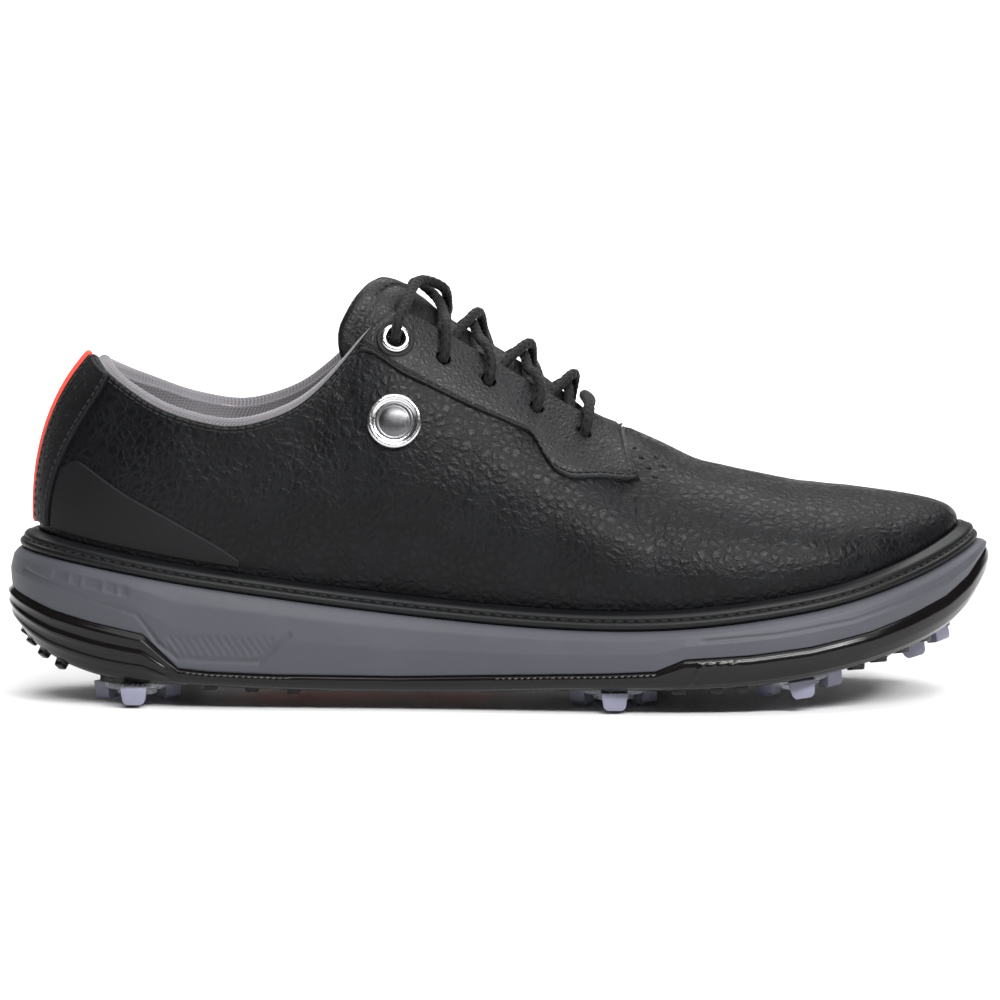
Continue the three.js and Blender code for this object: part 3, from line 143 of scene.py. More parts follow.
def smooth(value, low, high):
    """0 below low, 1 above high and a smooth step between them."""
    share = np.clip((np.asarray(value, float) - low) / (high - low), 0, 1)
    return share * share * (3 - 2 * share)


def unit(vectors):
    """Vectors of length 1."""
    return vectors / np.maximum(np.linalg.norm(vectors, axis=-1, keepdims=True), 1e-12)


def vec(*parts):
    """Points or vectors from their broadcast parts."""
    return np.stack(np.broadcast_arrays(*[np.asarray(p, float) for p in parts]), -1)


def catmull(points, per=8):
    """Centripetal Catmull-Rom curve through the points, with that many steps between two of them."""
    p = np.asarray(points, float)
    p = np.vstack([2 * p[0] - p[1], p, 2 * p[-1] - p[-2]])
    made = []
    for i in range(1, len(p) - 2):
        t = np.cumsum([0] + [max(math.sqrt(np.linalg.norm(p[i + j] - p[i + j - 1])), 1e-6) for j in range(3)])
        u = np.linspace(t[1], t[2], per, endpoint=False)[:, None]
        q = p[i - 1:i + 3]
        a = [((t[j + 1] - u) * q[j] + (u - t[j]) * q[j + 1]) / (t[j + 1] - t[j]) for j in range(3)]
        b = [((t[j + 2] - u) * a[j] + (u - t[j]) * a[j + 1]) / (t[j + 2] - t[j]) for j in range(2)]
        made.append(((t[2] - u) * b[0] + (u - t[1]) * b[1]) / (t[2] - t[1]))
    return np.vstack(made + [p[-2:-1]])


def distances(points):
    """How far along a line each of its points lies."""
    return np.concatenate([[0], np.cumsum(np.linalg.norm(np.diff(points, axis=0), axis=-1))])


def round_angles(count):
    return np.linspace(0, 2 * math.pi, count, endpoint=False)


def resample(points, step):
    """Points at even distances along a dense line."""
    p = np.asarray(points, float)
    s = distances(p)
    at = np.linspace(0, s[-1], max(2, int(round(s[-1] / step)) + 1))
    return np.stack([np.interp(at, s, p[:, i]) for i in range(3)], -1)


# ---------------------------------------------------------------- sole outline and levels
LATERAL_OUTLINE = [
    (-155, 0), (-150, -17), (-135, -30), (-110, -38), (-70, -41.5), (-20, -45), (20, -51),
    (55, -56), (85, -55), (110, -48.5), (130, -36), (145, -19.5), (155, TOE_Y),
]
MEDIAL_OUTLINE = [
    (-155, 0), (-150, 17), (-135, 29.5), (-110, 36.5), (-70, 38), (-20, 35.5), (20, 40),
    (55, 52), (85, 57), (110, 54.5), (130, 45.5), (145, 31.5), (155, TOE_Y),
]


def to_parameter(x):
    """Outline parameter, 0 at the heel and 1 at the toe, at a place along the shoe."""
    return np.arccos(np.clip(-np.asarray(x, float) / HALF, -1, 1)) / math.pi


def to_x(t):
    return -HALF * np.cos(math.pi * np.asarray(t, float))


OUTLINE_Y = {
    "lateral": spline([(to_parameter(x), y) for x, y in LATERAL_OUTLINE]),
    "medial": spline([(to_parameter(x), y) for x, y in MEDIAL_OUTLINE]),
}


def outline(side, t, inset):
    """Points of the outline at t (0 heel, 1 toe) moved inwards, and their outward directions."""
    step = 1e-4
    t = np.asarray(t, float)

    def at(u):
        return vec(to_x(u), OUTLINE_Y[side](u))

    along = at(np.clip(t + step, 0, 1)) - at(np.clip(t - step, 0, 1))
    out = unit(vec(along[..., 1], -along[..., 0])) * -SIGN[side]
    ends = ((t < step) | (t > 1 - step))[..., None]
    out = np.where(ends, vec(np.where(t < 0.5, -1.0, 1.0), 0.0 * t), out)
    return at(t) - out * np.asarray(inset, float)[..., None], out


def level(side, t, inset, z):
    """Points inside the outline at a height, which can be a function of x."""
    p, _ = outline(side, t, inset)
    height = z(p[..., 0]) if callable(z) else z
    return vec(p[..., 0], p[..., 1], height)


rim_level = spline([
    (-155, 47.6), (-126, 43.0), (-100, 38.7), (-75, 35.1), (-50, 31.8), (-25, 29.0), (0, 26.8),
    (32, 25.6), (57, 26.6), (82, 29.4), (107, 33.6), (125, 38.2), (140, 43.0), (155, 49.0),
])
bottom_level = spline([
    (-155, 23.5), (-150, 19.6), (-145, 16.4), (-135, 12.4), (-122, 9.2), (-110, 7.95), (-98, 7.55),
    (-80, 6.8), (-55, 6.1), (-31, 5.9), (0, 6.5), (20, 7.3), (34, 7.6), (50, 7.85), (63, 8.3),
    (76, 9.1), (95, 11.5), (114, 15.2), (126, 18.2), (139, 22.8), (148, 28.6), (155, 36.5),
])
wing_level = polyline([
    (-155, 35.5), (-151, 33.8), (-139, 29.5), (-126, 26.4), (-110, 23.2), (-99, 12.8), (-90, 11.9),
    (-69, 11.1), (-31, 10.9), (0, 11.8), (32, 12.9), (47, 13.8), (56, 17.6), (76, 18.9), (95, 21.2),
    (114, 25.2), (126, 29.0), (139, 34.0), (147, 39.2), (151, 43.4), (155, 47.0),
])
cup_depth = polyline([(-155, 5), (-60, 4), (20, 0.5), (155, 0.5)])


def rim(t):
    return rim_level(to_x(t))


def bottom(t):
    return bottom_level(to_x(t))


def wing(t):
    return np.minimum(wing_level(to_x(t)), rim(t) - 1)


def cup_floor(x):
    return rim_level(x) - cup_depth(x)


def sock_z(x):
    return cup_floor(x) + CUP_GAP + LEATHER + GAP + BOARD + GAP


# ---------------------------------------------------------------- upper surface
# Each station from heel to toe: x at the welt, x at the top edge, half width and height of the top edge,
# lean at the welt in degrees, reach of the curve from the welt, pitch at the top, reach from the top.
FEATHER_HALF = 145
STATIONS = np.array([
    [-145, -127.6, 0, 108.0, 3, 26, 46, 15],
    [-141, -122.9, 12.5, 103.6, 5, 24, 56, 13],
    [-131, -115, 20.0, 98.0, 7, 20, 68, 12],
    [-117, -104.5, 26.6, 92.2, 9, 18, 78, 12],
    [-100, -91, 30.6, 88.2, 11, 18, 84, 12],
    [-84, -80, 32.0, 87.4, 13, 18, 86, 12],
    [-70, -69, 32.2, 90.2, 15, 20, 86, 13],
    [-58, -59.5, 31.6, 95.4, 17, 22, 83, 15],
    [-46, -50.2, 30.0, 104.6, 19, 26, 77, 18],
    [-36, -42.6, 28.0, 114.2, 21, 28, 70, 20],
    [-28, -36.4, 25.8, 120.6, 21, 30, 62, 20],
    [-20, -30.0, 23.2, 122.3, 21, 30, 55, 20],
    [-10, -22.0, 20.6, 118.4, 21, 30, 49, 20],
    [5, -7.5, 18.8, 110.0, 21, 29, 44, 20],
    [20, 9.5, 17.4, 99.8, 21, 27, 40, 20],
    [33, 25.5, 14.0, 90.2, 21, 25, 32, 20],
    [42, 37.5, 6.5, 84.9, 20, 24, 16, 20],
    [48, 43.0, 0, 83.6, 20, 23, 0, 22],
    [66, 56.5, 0, 76.8, 19, 23, 0, 24],
    [85, 70.5, 0, 72.2, 17, 21, 0, 24],
    [103, 83.5, 0, 69.5, 14, 18, 0, 22],
    [119, 95.0, 0, 67.8, 10, 14, 0, 20],
    [132, 104.5, 0, 66.6, 5, 10, 0, 18],
    [145, 112.0, 0, 65.6, 0, 7.5, 0, 18],
], float)
LAST = len(STATIONS) - 1
THROAT = 17  # the station where the tongue's opening ends
MEDIAL_RISE = 2.9  # the collar is higher on the inner side
MEDIAL_UPRIGHT = 5  # degrees by which the inner waist stands steeper
_columns = [spline(list(zip(range(LAST + 1), STATIONS[:, i]))) for i in range(8)]
feather_x, top_x, top_half, top_z, lean, reach_low, pitch, reach_high = _columns
crest_y = spline([(-155, 0), (-20, 0), (40, 1), (75, 3.2), (112, 6)])


def column_parameter(k):
    inner = to_parameter(feather_x(k) * HALF / FEATHER_HALF)
    return np.where(k <= 0, 0.0, np.where(k >= LAST, 1.0, inner))


def crest_slope(k):
    a, b = k - 0.05, np.minimum(LAST, k + 0.05)
    return (top_z(b) - top_z(a)) / (top_x(b) - top_x(a))


def upper_line(side, k):
    """Bezier points of the upper's lines at stations k, from the welt to the top edge."""
    k = np.asarray(k, float)
    t = column_parameter(k)
    foot, out = outline(side, t, FEATHER_INSET)
    out = vec(out[..., 0], out[..., 1], 0)
    start = vec(foot[..., 0], foot[..., 1], rim(t) + WELT_HEIGHT)
    half = np.where(k >= THROAT, 0, np.maximum(0, top_half(k)))
    medial = 1.0 if side == "medial" else 0.0
    rise = medial * MEDIAL_RISE * smooth(k, 0.2, 3) * (1 - smooth(k, 7, 10))
    x = top_x(k)
    end = vec(x, SIGN[side] * half + crest_y(x), top_z(k) + rise)
    upright = medial * MEDIAL_UPRIGHT * smooth(k, 3, 8) * (1 - smooth(k, 17, 22))
    low = np.radians(lean(k) - upright)[..., None]
    up = np.array([0, 0, 1.0])
    first = out * np.sin(low) + up * np.cos(low)
    high = np.where(k >= THROAT, 0, np.radians(np.maximum(0, pitch(k))))[..., None]
    arrive = -out * np.cos(high) + up * np.sin(high)
    arrive = arrive + (smooth(k, THROAT - 4, THROAT) * crest_slope(k) * -out[..., 0])[..., None] * up
    return (start, start + first * reach_low(k)[..., None],
            end - unit(arrive) * reach_high(k)[..., None], end)


def surface(side, k, v):
    """Points on the leather's outer face at station k and height share v."""
    k, v = np.broadcast_arrays(np.asarray(k, float), np.asarray(v, float))
    a, b, c, d = upper_line(side, k)
    v = v[..., None]
    w = 1 - v
    return w ** 3 * a + 3 * w * w * v * b + 3 * w * v * v * c + v ** 3 * d


def side_normal(side, k, v):
    d = 0.02
    along = surface(side, np.minimum(LAST, k + d), v) - surface(side, np.maximum(0, k - d), v)
    upward = surface(side, k, np.minimum(1, v + d)) - surface(side, k, np.maximum(0, v - d))
    return unit(np.cross(along, upward) * -SIGN[side])


def normal(side, k, v):
    """Outward directions, shared by the two sides where they meet."""
    k, v = np.broadcast_arrays(np.asarray(k, float), np.asarray(v, float))
    n = side_normal(side, k, v)
    both = unit(n + side_normal(OTHER[side], k, v))
    ends = ((k <= 1e-6) | (k >= LAST - 1e-6))[..., None]
    n = np.where(ends, both, n)
    crest = ((v > 1 - 1e-6) & (k > THROAT - 1e-6))[..., None]
    return np.where(crest, unit(vec(-crest_slope(k), 0 * k, 1 + 0 * k)), n)


def offset(side, k, v, depth):
    depth = np.asarray(depth, float)[..., None]
    return surface(side, k, v) + normal(side, k, v) * depth


_search_k, _search_v = [g.ravel() for g in np.meshgrid(np.arange(0, LAST + 0.1, 0.25), np.linspace(0, 1, 21))]
_search = {side: surface(side, _search_k, _search_v) for side in SIDES}


def locate(side, x, z):
    """Station and height share of the surface point seen at x, z from the side."""
    p = _search[side]
    best = np.argmin(np.hypot(p[:, 0] - x, p[:, 2] - z))
    k, v = float(_search_k[best]), float(_search_v[best])
    d = 0.01
    for _ in range(10):
        ks = np.array([k, min(LAST, k + d), k])
        vs = np.array([v, v, min(1, v + d)])
        q = surface(side, ks, vs)
        pk, pv = (q[1] - q[0]) / d, (q[2] - q[0]) / d
        rx, rz = x - q[0][0], z - q[0][2]
        det = pk[0] * pv[2] - pk[2] * pv[0]
        if abs(det) < 1e-9:
            break
        k = float(np.clip(k + np.clip((rx * pv[2] - rz * pv[0]) / det, -1, 1), 0.02, LAST - 0.02))
        v = float(np.clip(v + np.clip((pk[0] * rz - pk[2] * rx) / det, -0.2, 0.2), 0, 0.98))
    return k, v


def pad_share(k, v):
    return smooth(v, 0.34, 0.72) * (1 - smooth(k, 7.2, 10.2))


def lining_depth(k, v):
    counter = (1 - smooth(v, 0.35, 0.52)) * (1 - smooth(k, 5.2, 7))
    puff = smooth(k, 18.4, 19.8) * (1 - smooth(v, 0.71, 0.88))
    stiff = (STIFFENER + GAP) * np.maximum(counter, puff)
    return LEATHER + GAP + np.maximum((COLLAR_PAD + 2 * GAP) * pad_share(k, v), stiff)


# ---------------------------------------------------------------- meshes
WELD = 2e-6  # metres
TINY_EDGE = 1e-7  # metres


def new_object(name, data):
    obj = bpy.data.objects.new(name, data)
    bpy.context.scene.collection.objects.link(obj)
    return obj


def add_mesh(name, vertices, faces, material, uv=None):
    """A mesh object from millimetre points of the curves' frame."""
    mesh = bpy.data.meshes.new(name)
    points = (np.asarray(vertices, float).reshape(-1, 3) + SHIFT) * MM
    mesh.from_pydata(points.tolist(), [], [list(map(int, f)) for f in faces])
    if uv is not None:
        layer = mesh.uv_layers.new(name="UVMap")
        index = np.zeros(len(mesh.loops), np.int32)
        mesh.loops.foreach_get("vertex_index", index)
        layer.data.foreach_set("uv", (np.asarray(uv, float).reshape(-1, 2)[index] * MM).ravel())
    for m in material if isinstance(material, (list, tuple)) else [material]:
        mesh.materials.append(m)
    mesh.validate()
    obj = new_object(name, mesh)
    clean(obj)
    return obj


def clean(obj):
    """Welds the mesh, turns its faces outwards and shades it smooth."""
    made = bmesh.new()
    made.from_mesh(obj.data)
    bmesh.ops.remove_doubles(made, verts=made.verts, dist=WELD)
    bmesh.ops.dissolve_degenerate(made, dist=TINY_EDGE, edges=made.edges)
    bmesh.ops.recalc_face_normals(made, faces=made.faces)
    if made.calc_volume(signed=True) < 0:
        bmesh.ops.reverse_faces(made, faces=made.faces)
    for face in made.faces:
        face.smooth = True
    made.to_mesh(obj.data)
    made.free()


def shade_smooth(obj):
    for polygon in obj.data.polygons:
        polygon.use_smooth = True


def piece(obj, body=SHOE, replaces=()):
    """Puts a finished piece on its body, in place of the nodes it covers."""
    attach(obj, body)
    if replaces:
        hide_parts(*replaces)
    return obj


def grid_faces(n, m, start=0, flip=False):
    """Faces of a grid of n by m points."""
    i, j = np.meshgrid(np.arange(n - 1), np.arange(m - 1), indexing="ij")
    a = (start + i * m + j).ravel()
    quads = np.stack([a, a + m, a + m + 1, a + 1], -1)
    return (quads[:, ::-1] if flip else quads).tolist()


def tube_faces(n, m, start=0, wrap=False):
    """Faces between n rings of m points, each ring closed; wrap joins the last ring to the first."""
    faces = []
    for i in range(n if wrap else n - 1):
        a, b = start + i * m, start + ((i + 1) % n) * m
        faces += [[a + j, b + j, b + (j + 1) % m, a + (j + 1) % m] for j in range(m)]
    return faces


def arc_uv(grid):
    """Distances along both directions of a grid of points, in millimetres."""
    along = np.linalg.norm(np.diff(grid, axis=0), axis=-1)
    across = np.linalg.norm(np.diff(grid, axis=1), axis=-1)
    u = np.vstack([np.zeros((1, grid.shape[1])), np.cumsum(along, 0)])
    v = np.hstack([np.zeros((grid.shape[0], 1)), np.cumsum(across, 1)])
    return np.stack([u, v], -1)


def slab(name, top, base, material, uv=None):
    """A closed body between two matching grids of points."""
    n, m = top.shape[:2]
    faces = grid_faces(n, m) + grid_faces(n, m, n * m, True)
    border = ([(i, 0) for i in range(n)] + [(n - 1, j) for j in range(1, m)]
              + [(i, m - 1) for i in range(n - 2, -1, -1)] + [(0, j) for j in range(m - 2, 0, -1)])
    ids = [i * m + j for i, j in border]
    for a, b in zip(ids, ids[1:] + ids[:1]):
        faces.append([b, a, a + n * m, b + n * m])
    uv = arc_uv(top) if uv is None else uv
    return add_mesh(name, np.concatenate([top.reshape(-1, 3), base.reshape(-1, 3)]), faces, material,
                    np.concatenate([uv.reshape(-1, 2), uv.reshape(-1, 2)]))


def edge_distance(grid, skip=()):
    """Distance of each grid point to the nearest border of the grid; skip names borders that don't count."""
    uv = arc_uv(grid)
    u, v = uv[..., 0], uv[..., 1]
    found = {"start": u, "end": u[-1:] - u, "low": v, "high": v[:, -1:] - v}
    return np.min([d for key, d in found.items() if key not in skip], axis=0)


def rounded(distance, radius):
    """0 at an edge, rising to 1 over a quarter circle of that radius."""
    share = 1 - np.clip(distance / radius, 0, 1)
    return np.sqrt(np.maximum(0, 1 - share * share))


END_SHARE = 0.55  # of a swept tube's radius, left at its two ends


def sweep(name, path, radius, material, shape=None, sides=16):
    """A tube along a path with turned-over ends; shape(distance, angle) scales the radius."""
    p = np.asarray(path, float)
    tangent = unit(np.gradient(p, axis=0))
    side = np.zeros_like(p)
    start = np.cross(tangent[0], [0, 0, 1.0])
    side[0] = unit(start if np.linalg.norm(start) > 1e-6 else np.cross(tangent[0], [0, 1.0, 0]))
    for i in range(1, len(p)):
        side[i] = unit(side[i - 1] - tangent[i] * np.dot(side[i - 1], tangent[i]))
    other = np.cross(tangent, side)
    s = distances(p)
    angle = round_angles(sides)
    r = np.full((len(p), sides), float(radius))
    if shape is not None:
        r = r * shape(s[:, None], angle[None, :])
    r[[0, -1]] *= END_SHARE
    rings = p[:, None] + r[..., None] * (np.cos(angle)[None, :, None] * side[:, None]
                                          + np.sin(angle)[None, :, None] * other[:, None])
    faces = tube_faces(len(p), sides)
    n = len(p) * sides
    points = np.vstack([rings.reshape(-1, 3), p[:1], p[-1:]])
    faces += [[n, (j + 1) % sides, j] for j in range(sides)]
    last = (len(p) - 1) * sides
    faces += [[n + 1, last + j, last + (j + 1) % sides] for j in range(sides)]
    uv = np.stack([np.repeat(s, sides), np.tile(angle * radius, len(p))], -1)
    uv = np.vstack([uv, [[0, 0], [s[-1], 0]]])
    return add_mesh(name, points, faces, material, uv)


def join(name, objects):
    """Several mesh objects as one."""
    bpy.ops.object.select_all(action="DESELECT")
    for o in objects:
        o.select_set(True)
    bpy.context.view_layer.objects.active = objects[0]
    bpy.ops.object.join()
    objects[0].name = name
    objects[0].data.name = name
    return objects[0]


def modified(obj, kind, **settings):
    """Adds a modifier and applies it."""
    m = obj.modifiers.new(kind.lower(), kind)
    for key, value in settings.items():
        setattr(m, key, value)
    graph = bpy.context.evaluated_depsgraph_get()
    mesh = bpy.data.meshes.new_from_object(obj.evaluated_get(graph), depsgraph=graph)
    obj.modifiers.clear()
    old = obj.data
    obj.data = mesh
    mesh.name = old.name
    bpy.data.meshes.remove(old)
    return obj


def carve(obj, cutters):
    """Cuts the cutters out of obj and removes them."""
    tool = join(obj.name + "_cutter", cutters) if len(cutters) > 1 else cutters[0]
    modified(obj, "BOOLEAN", operation="DIFFERENCE", solver="MANIFOLD", object=tool)
    bpy.data.objects.remove(tool)
    shade_smooth(obj)
    return obj


def frame_matrix(centre, axis, across=(1, 0, 0)):
    """Matrix whose z runs along axis at centre, for points in millimetres."""
    z = unit(np.asarray(axis, float))
    x = np.asarray(across, float)
    x = unit(x - z * np.dot(x, z))
    matrix = np.eye(4)
    matrix[:3, 0], matrix[:3, 1], matrix[:3, 2], matrix[:3, 3] = x, np.cross(z, x), z, centre
    return matrix


def placed(points, matrix):
    """Points moved by a 4 x 4 matrix."""
    return np.asarray(points, float) @ matrix[:3, :3].T + matrix[:3, 3]


def lathe(name, profile, matrix, material, sides=48):
    """A turned skin from an [r, z] profile, closed only where the profile starts and ends on the axis."""
    profile = np.asarray(profile, float)
    angle = round_angles(sides)
    r, z = profile[:, 0, None], profile[:, 1, None]
    rings = vec(r * np.cos(angle), r * np.sin(angle), z)
    return add_mesh(name, placed(rings.reshape(-1, 3), matrix), tube_faces(len(profile), sides), material)


def drum(name, radius, z0, z1, matrix, material, sides=24):
    """A closed round bar between two heights."""
    return lathe(name, [(0, z0), (radius, z0), (radius, z1), (0, z1)], matrix, material, sides)


STITCHES = {  # pitch, length and thread radius of each seam
    "facing": (2.7, 2.25, 0.36), "back": (2.4, 1.9, 0.28), "collar": (2.5, 2.0, 0.3),
    "tongue": (2.7, 2.2, 0.3), "welt": (3.4, 2.7, 0.34),
}
STITCH_SECTIONS = [  # share of the length, then size and lift in thread radii
    (-0.5, 0.35, -0.3), (-0.36, 0.9, 0), (0, 1.05, 0.22), (0.36, 0.9, 0), (0.5, 0.35, -0.3),
]
STITCH_SIDES = 6
STITCH_LIFT = 0.12


def sew(name, path, normals, kind, body=SHOE):
    """A row of thread stitches along a path: short rods with rounded ends, half sunk in the leather."""
    pitch, length, radius = STITCHES[kind]
    source = np.asarray(path, float)
    p = resample(source, pitch)
    s = distances(source)
    at = np.linspace(0, s[-1], len(p))
    n = unit(np.stack([np.interp(at, s, np.asarray(normals)[:, i]) for i in range(3)], -1))
    angle = round_angles(STITCH_SIDES)
    count = len(STITCH_SECTIONS) * STITCH_SIDES
    caps = np.array([range(STITCH_SIDES)[::-1], range(count - STITCH_SIDES, count)])
    points, faces = [], []
    for i, (centre, along, up) in enumerate(zip(p, unit(np.gradient(p, axis=0)), n)):
        side = unit(np.cross(along, up))
        for share, size, lift in STITCH_SECTIONS:
            c = centre + along * share * length + up * (STITCH_LIFT + lift * radius)
            points.append(c + radius * size * (np.cos(angle)[:, None] * side + np.sin(angle)[:, None] * up))
        faces += tube_faces(len(STITCH_SECTIONS), STITCH_SIDES, i * count)
        faces += (caps + i * count).tolist()
    seam = add_mesh(name, np.vstack(points), faces, LOOK["thread"])
    piece(seam, body, ())


# ---------------------------------------------------------------- materials
class Nodes:
    """A node material and short ways to fill it."""

    def __init__(self, name, **inputs):
        self.material = bpy.data.materials.new(name)
        self.material.use_nodes = True
        self.tree = self.material.node_tree
        self.shader = self.tree.nodes["Principled BSDF"]
        self.coordinates = self.tree.nodes.new("ShaderNodeTexCoord")
        for key, value in inputs.items():
            self.shader.inputs[key.replace("_", " ")].default_value = value

    def add(self, kind, inputs=(), **settings):
        node = self.tree.nodes.new(kind)
        for key, value in settings.items():
            setattr(node, key, value)
        for key, value in dict(inputs).items():
            if isinstance(value, bpy.types.NodeSocket):
                self.tree.links.new(value, node.inputs[key])
            else:
                node.inputs[key].default_value = value
        return node

    def place(self, scale=(1, 1, 1), uv=False, wobble=0.0, wobble_scale=200.0):
        """Object or surface coordinates, scaled, with an optional wobble."""
        source = self.coordinates.outputs["UV" if uv else "Object"]
        if wobble:
            stir = self.add("ShaderNodeTexNoise", {"Vector": source, "Scale": wobble_scale, "Detail": 2.0})
            inputs = {0: stir.outputs["Color"], 1: (wobble,) * 3, 2: source}
            source = self.add("ShaderNodeVectorMath", inputs, operation="MULTIPLY_ADD").outputs[0]
        return self.add("ShaderNodeMapping", {"Vector": source, "Scale": scale}).outputs[0]

    def noise(self, scale, detail=3.0, place=None, roughness=0.5):
        inputs = {"Scale": scale, "Detail": detail, "Roughness": roughness,
                  "Vector": self.coordinates.outputs["Object"] if place is None else place}
        return self.add("ShaderNodeTexNoise", inputs).outputs["Fac"]

    def cells(self, scale, place):
        inputs = {"Scale": scale, "Vector": place, "Randomness": 1.0}
        return self.add("ShaderNodeTexVoronoi", inputs, feature="DISTANCE_TO_EDGE").outputs["Distance"]

    def wave(self, scale, place, direction, distortion=0.0):
        inputs = {"Scale": scale, "Distortion": distortion, "Vector": place, "Detail": 0.0}
        return self.add("ShaderNodeTexWave", inputs, bands_direction=direction).outputs["Fac"]

    def ramp(self, value, low, high, out_low=0.0, out_high=1.0):
        """A smooth step of value from low to high."""
        inputs = {"Value": value, "From Min": low, "From Max": high, "To Min": out_low, "To Max": out_high}
        return self.add("ShaderNodeMapRange", inputs, interpolation_type="SMOOTHSTEP").outputs["Result"]

    def math(self, operation, a, b=0.0):
        return self.add("ShaderNodeMath", {0: a, 1: b}, operation=operation).outputs[0]

    def total(self, *pairs):
        """Weighted sum of values."""
        made = None
        for value, weight in pairs:
            part = self.math("MULTIPLY", value, weight)
            made = part if made is None else self.math("ADD", made, part)
        return made

    def mix(self, share, a, b):
        node = self.add("ShaderNodeMix", data_type="RGBA")
        for socket, value in ((0, share), (6, a), (7, b)):
            if isinstance(value, bpy.types.NodeSocket):
                self.tree.links.new(value, node.inputs[socket])
            elif isinstance(value, tuple):
                node.inputs[socket].default_value = (*value, 1)
            else:
                node.inputs[socket].default_value = value
        return node.outputs[2]

    def feed(self, **links):
        for key, value in links.items():
            self.tree.links.new(value, self.shader.inputs[key.replace("_", " ")])

    def bump(self, height, distance, strength=1.0):
        """Height in shares of distance, in metres."""
        node = self.add("ShaderNodeBump", {"Height": height, "Distance": distance, "Strength": strength})
        self.tree.links.new(node.outputs["Normal"], self.shader.inputs["Normal"])


def tinted(base, share):
    return tuple(share * c for c in base)


def leather(name, base, cell, depth, rough, shine=0.17):
    """Tumbled grain: soft cells parted by creases, with pores and a satin finish."""
    m = Nodes(name, Specular_IOR_Level=shine)
    place = m.place(wobble=0.0016, wobble_scale=160.0)
    edge = m.ramp(m.cells(1 / cell, place), 0.0, 0.34)
    small = m.ramp(m.cells(2.3 / cell, place), 0.0, 0.3)
    pores = m.noise(900.0, 4.0)
    broad = m.noise(70.0, 2.0)
    height = m.total((edge, 0.62), (small, 0.24), (pores, 0.14))
    m.bump(height, depth, 1.0)
    # Painted shade: the creases between the grain's cells are painted darker, down to 0.55 of the base
    # colour.
    tint = m.mix(edge, tinted(base, 0.55), base)
    tint = m.mix(m.ramp(broad, 0.35, 0.75), tint, tinted(base, 1.22))
    m.feed(Base_Color=tint, Roughness=m.total((m.ramp(edge, 0, 1, rough + 0.16, rough), 1.0), (broad, 0.08)))
    return m.material


def knit(name, base, pitch, depth):
    """Fine ribbed knit: ribs, each crossed by small loops."""
    m = Nodes(name, Roughness=0.92, Sheen_Weight=0.35, Sheen_Roughness=0.45, Specular_IOR_Level=0.25)
    place = m.place(uv=True)
    turns = 2 * math.pi / pitch / 20
    ribs = m.wave(turns, place, "X")
    loops = m.wave(turns * 1.35, place, "Y", distortion=1.2)
    fuzz = m.noise(2600.0, 4.0)
    height = m.total((ribs, 0.6), (loops, 0.28), (fuzz, 0.2))
    m.bump(height, depth, 0.9)
    # Painted shade and highlight: where the knit's bump is low its hollows are painted darker, and its raised
    # ribs and loops lighter.
    tint = m.mix(m.ramp(height, 0.25, 0.85), tinted(base, 0.6), tinted(base, 1.15))
    m.feed(Base_Color=m.mix(m.ramp(m.noise(60.0), 0.3, 0.7), tint, base))
    return m.material


def braid(name, base, pitch, radius):
    """Round braided lace: two crossing sets of yarns."""
    m = Nodes(name, Roughness=0.7, Sheen_Weight=0.05, Sheen_Roughness=0.4, Specular_IOR_Level=0.25)
    split = m.add("ShaderNodeSeparateXYZ", {0: m.coordinates.outputs["UV"]})
    along = m.math("MULTIPLY", split.outputs[0], 2 * math.pi / pitch)
    round_it = m.math("MULTIPLY", split.outputs[1], 4 / radius)
    a = m.math("SINE", m.math("ADD", along, round_it))
    b = m.math("SINE", m.math("SUBTRACT", along, round_it))
    woven = m.math("MAXIMUM", a, b)
    yarn = m.noise(3200.0, 3.0)
    height = m.total((woven, 0.5), (yarn, 0.3))
    m.bump(height, 0.00022, 1.0)
    # Painted shade and highlight: the gaps between the yarns are painted darker and the yarns' crowns
    # lighter.
    m.feed(Base_Color=m.mix(m.ramp(woven, -0.2, 0.9), tinted(base, 0.35), tinted(base, 1.3)))
    return m.material


def moulded(name, base, rough, depth=0.00004, scale=1400.0, wear=1.25, **inputs):
    """Moulded plastic, rubber or foam: a fine skin with slight colour drift and rubbed places."""
    m = Nodes(name, **inputs)
    skin = m.noise(scale, 5.0, roughness=0.65)
    drift = m.noise(45.0, 2.0)
    m.bump(skin, depth, 0.8)
    tint = m.mix(m.ramp(drift, 0.3, 0.75), base, tuple(min(1, wear * c) for c in base))
    m.feed(Base_Color=tint, Roughness=m.total((drift, 0.1), (skin, 0.12), (1.0, rough - 0.11)))
    return m.material


def polished(name, base, rough):
    """Plated metal with faint scratches."""
    m = Nodes(name, Metallic=1.0)
    scratches = m.noise(900.0, 3.0, place=m.place(scale=(1, 9, 1)))
    m.bump(scratches, 0.000012, 0.6)
    m.feed(Base_Color=m.mix(scratches, tinted(base, 0.82), base),
           Roughness=m.ramp(scratches, 0.3, 0.8, rough, rough + 0.14))
    return m.material


def thread(name, base):
    """Twisted sewing thread."""
    m = Nodes(name, Roughness=0.7, Sheen_Weight=0.1, Specular_IOR_Level=0.25)
    twist = m.wave(330.0, m.place(scale=(1, 0.6, 1)), "DIAGONAL")
    m.bump(twist, 0.00008, 1.0)
    # Painted shade: the grooves of the twist, where the bump is low, are painted darker.
    m.feed(Base_Color=m.mix(twist, tinted(base, 0.5), base))
    return m.material


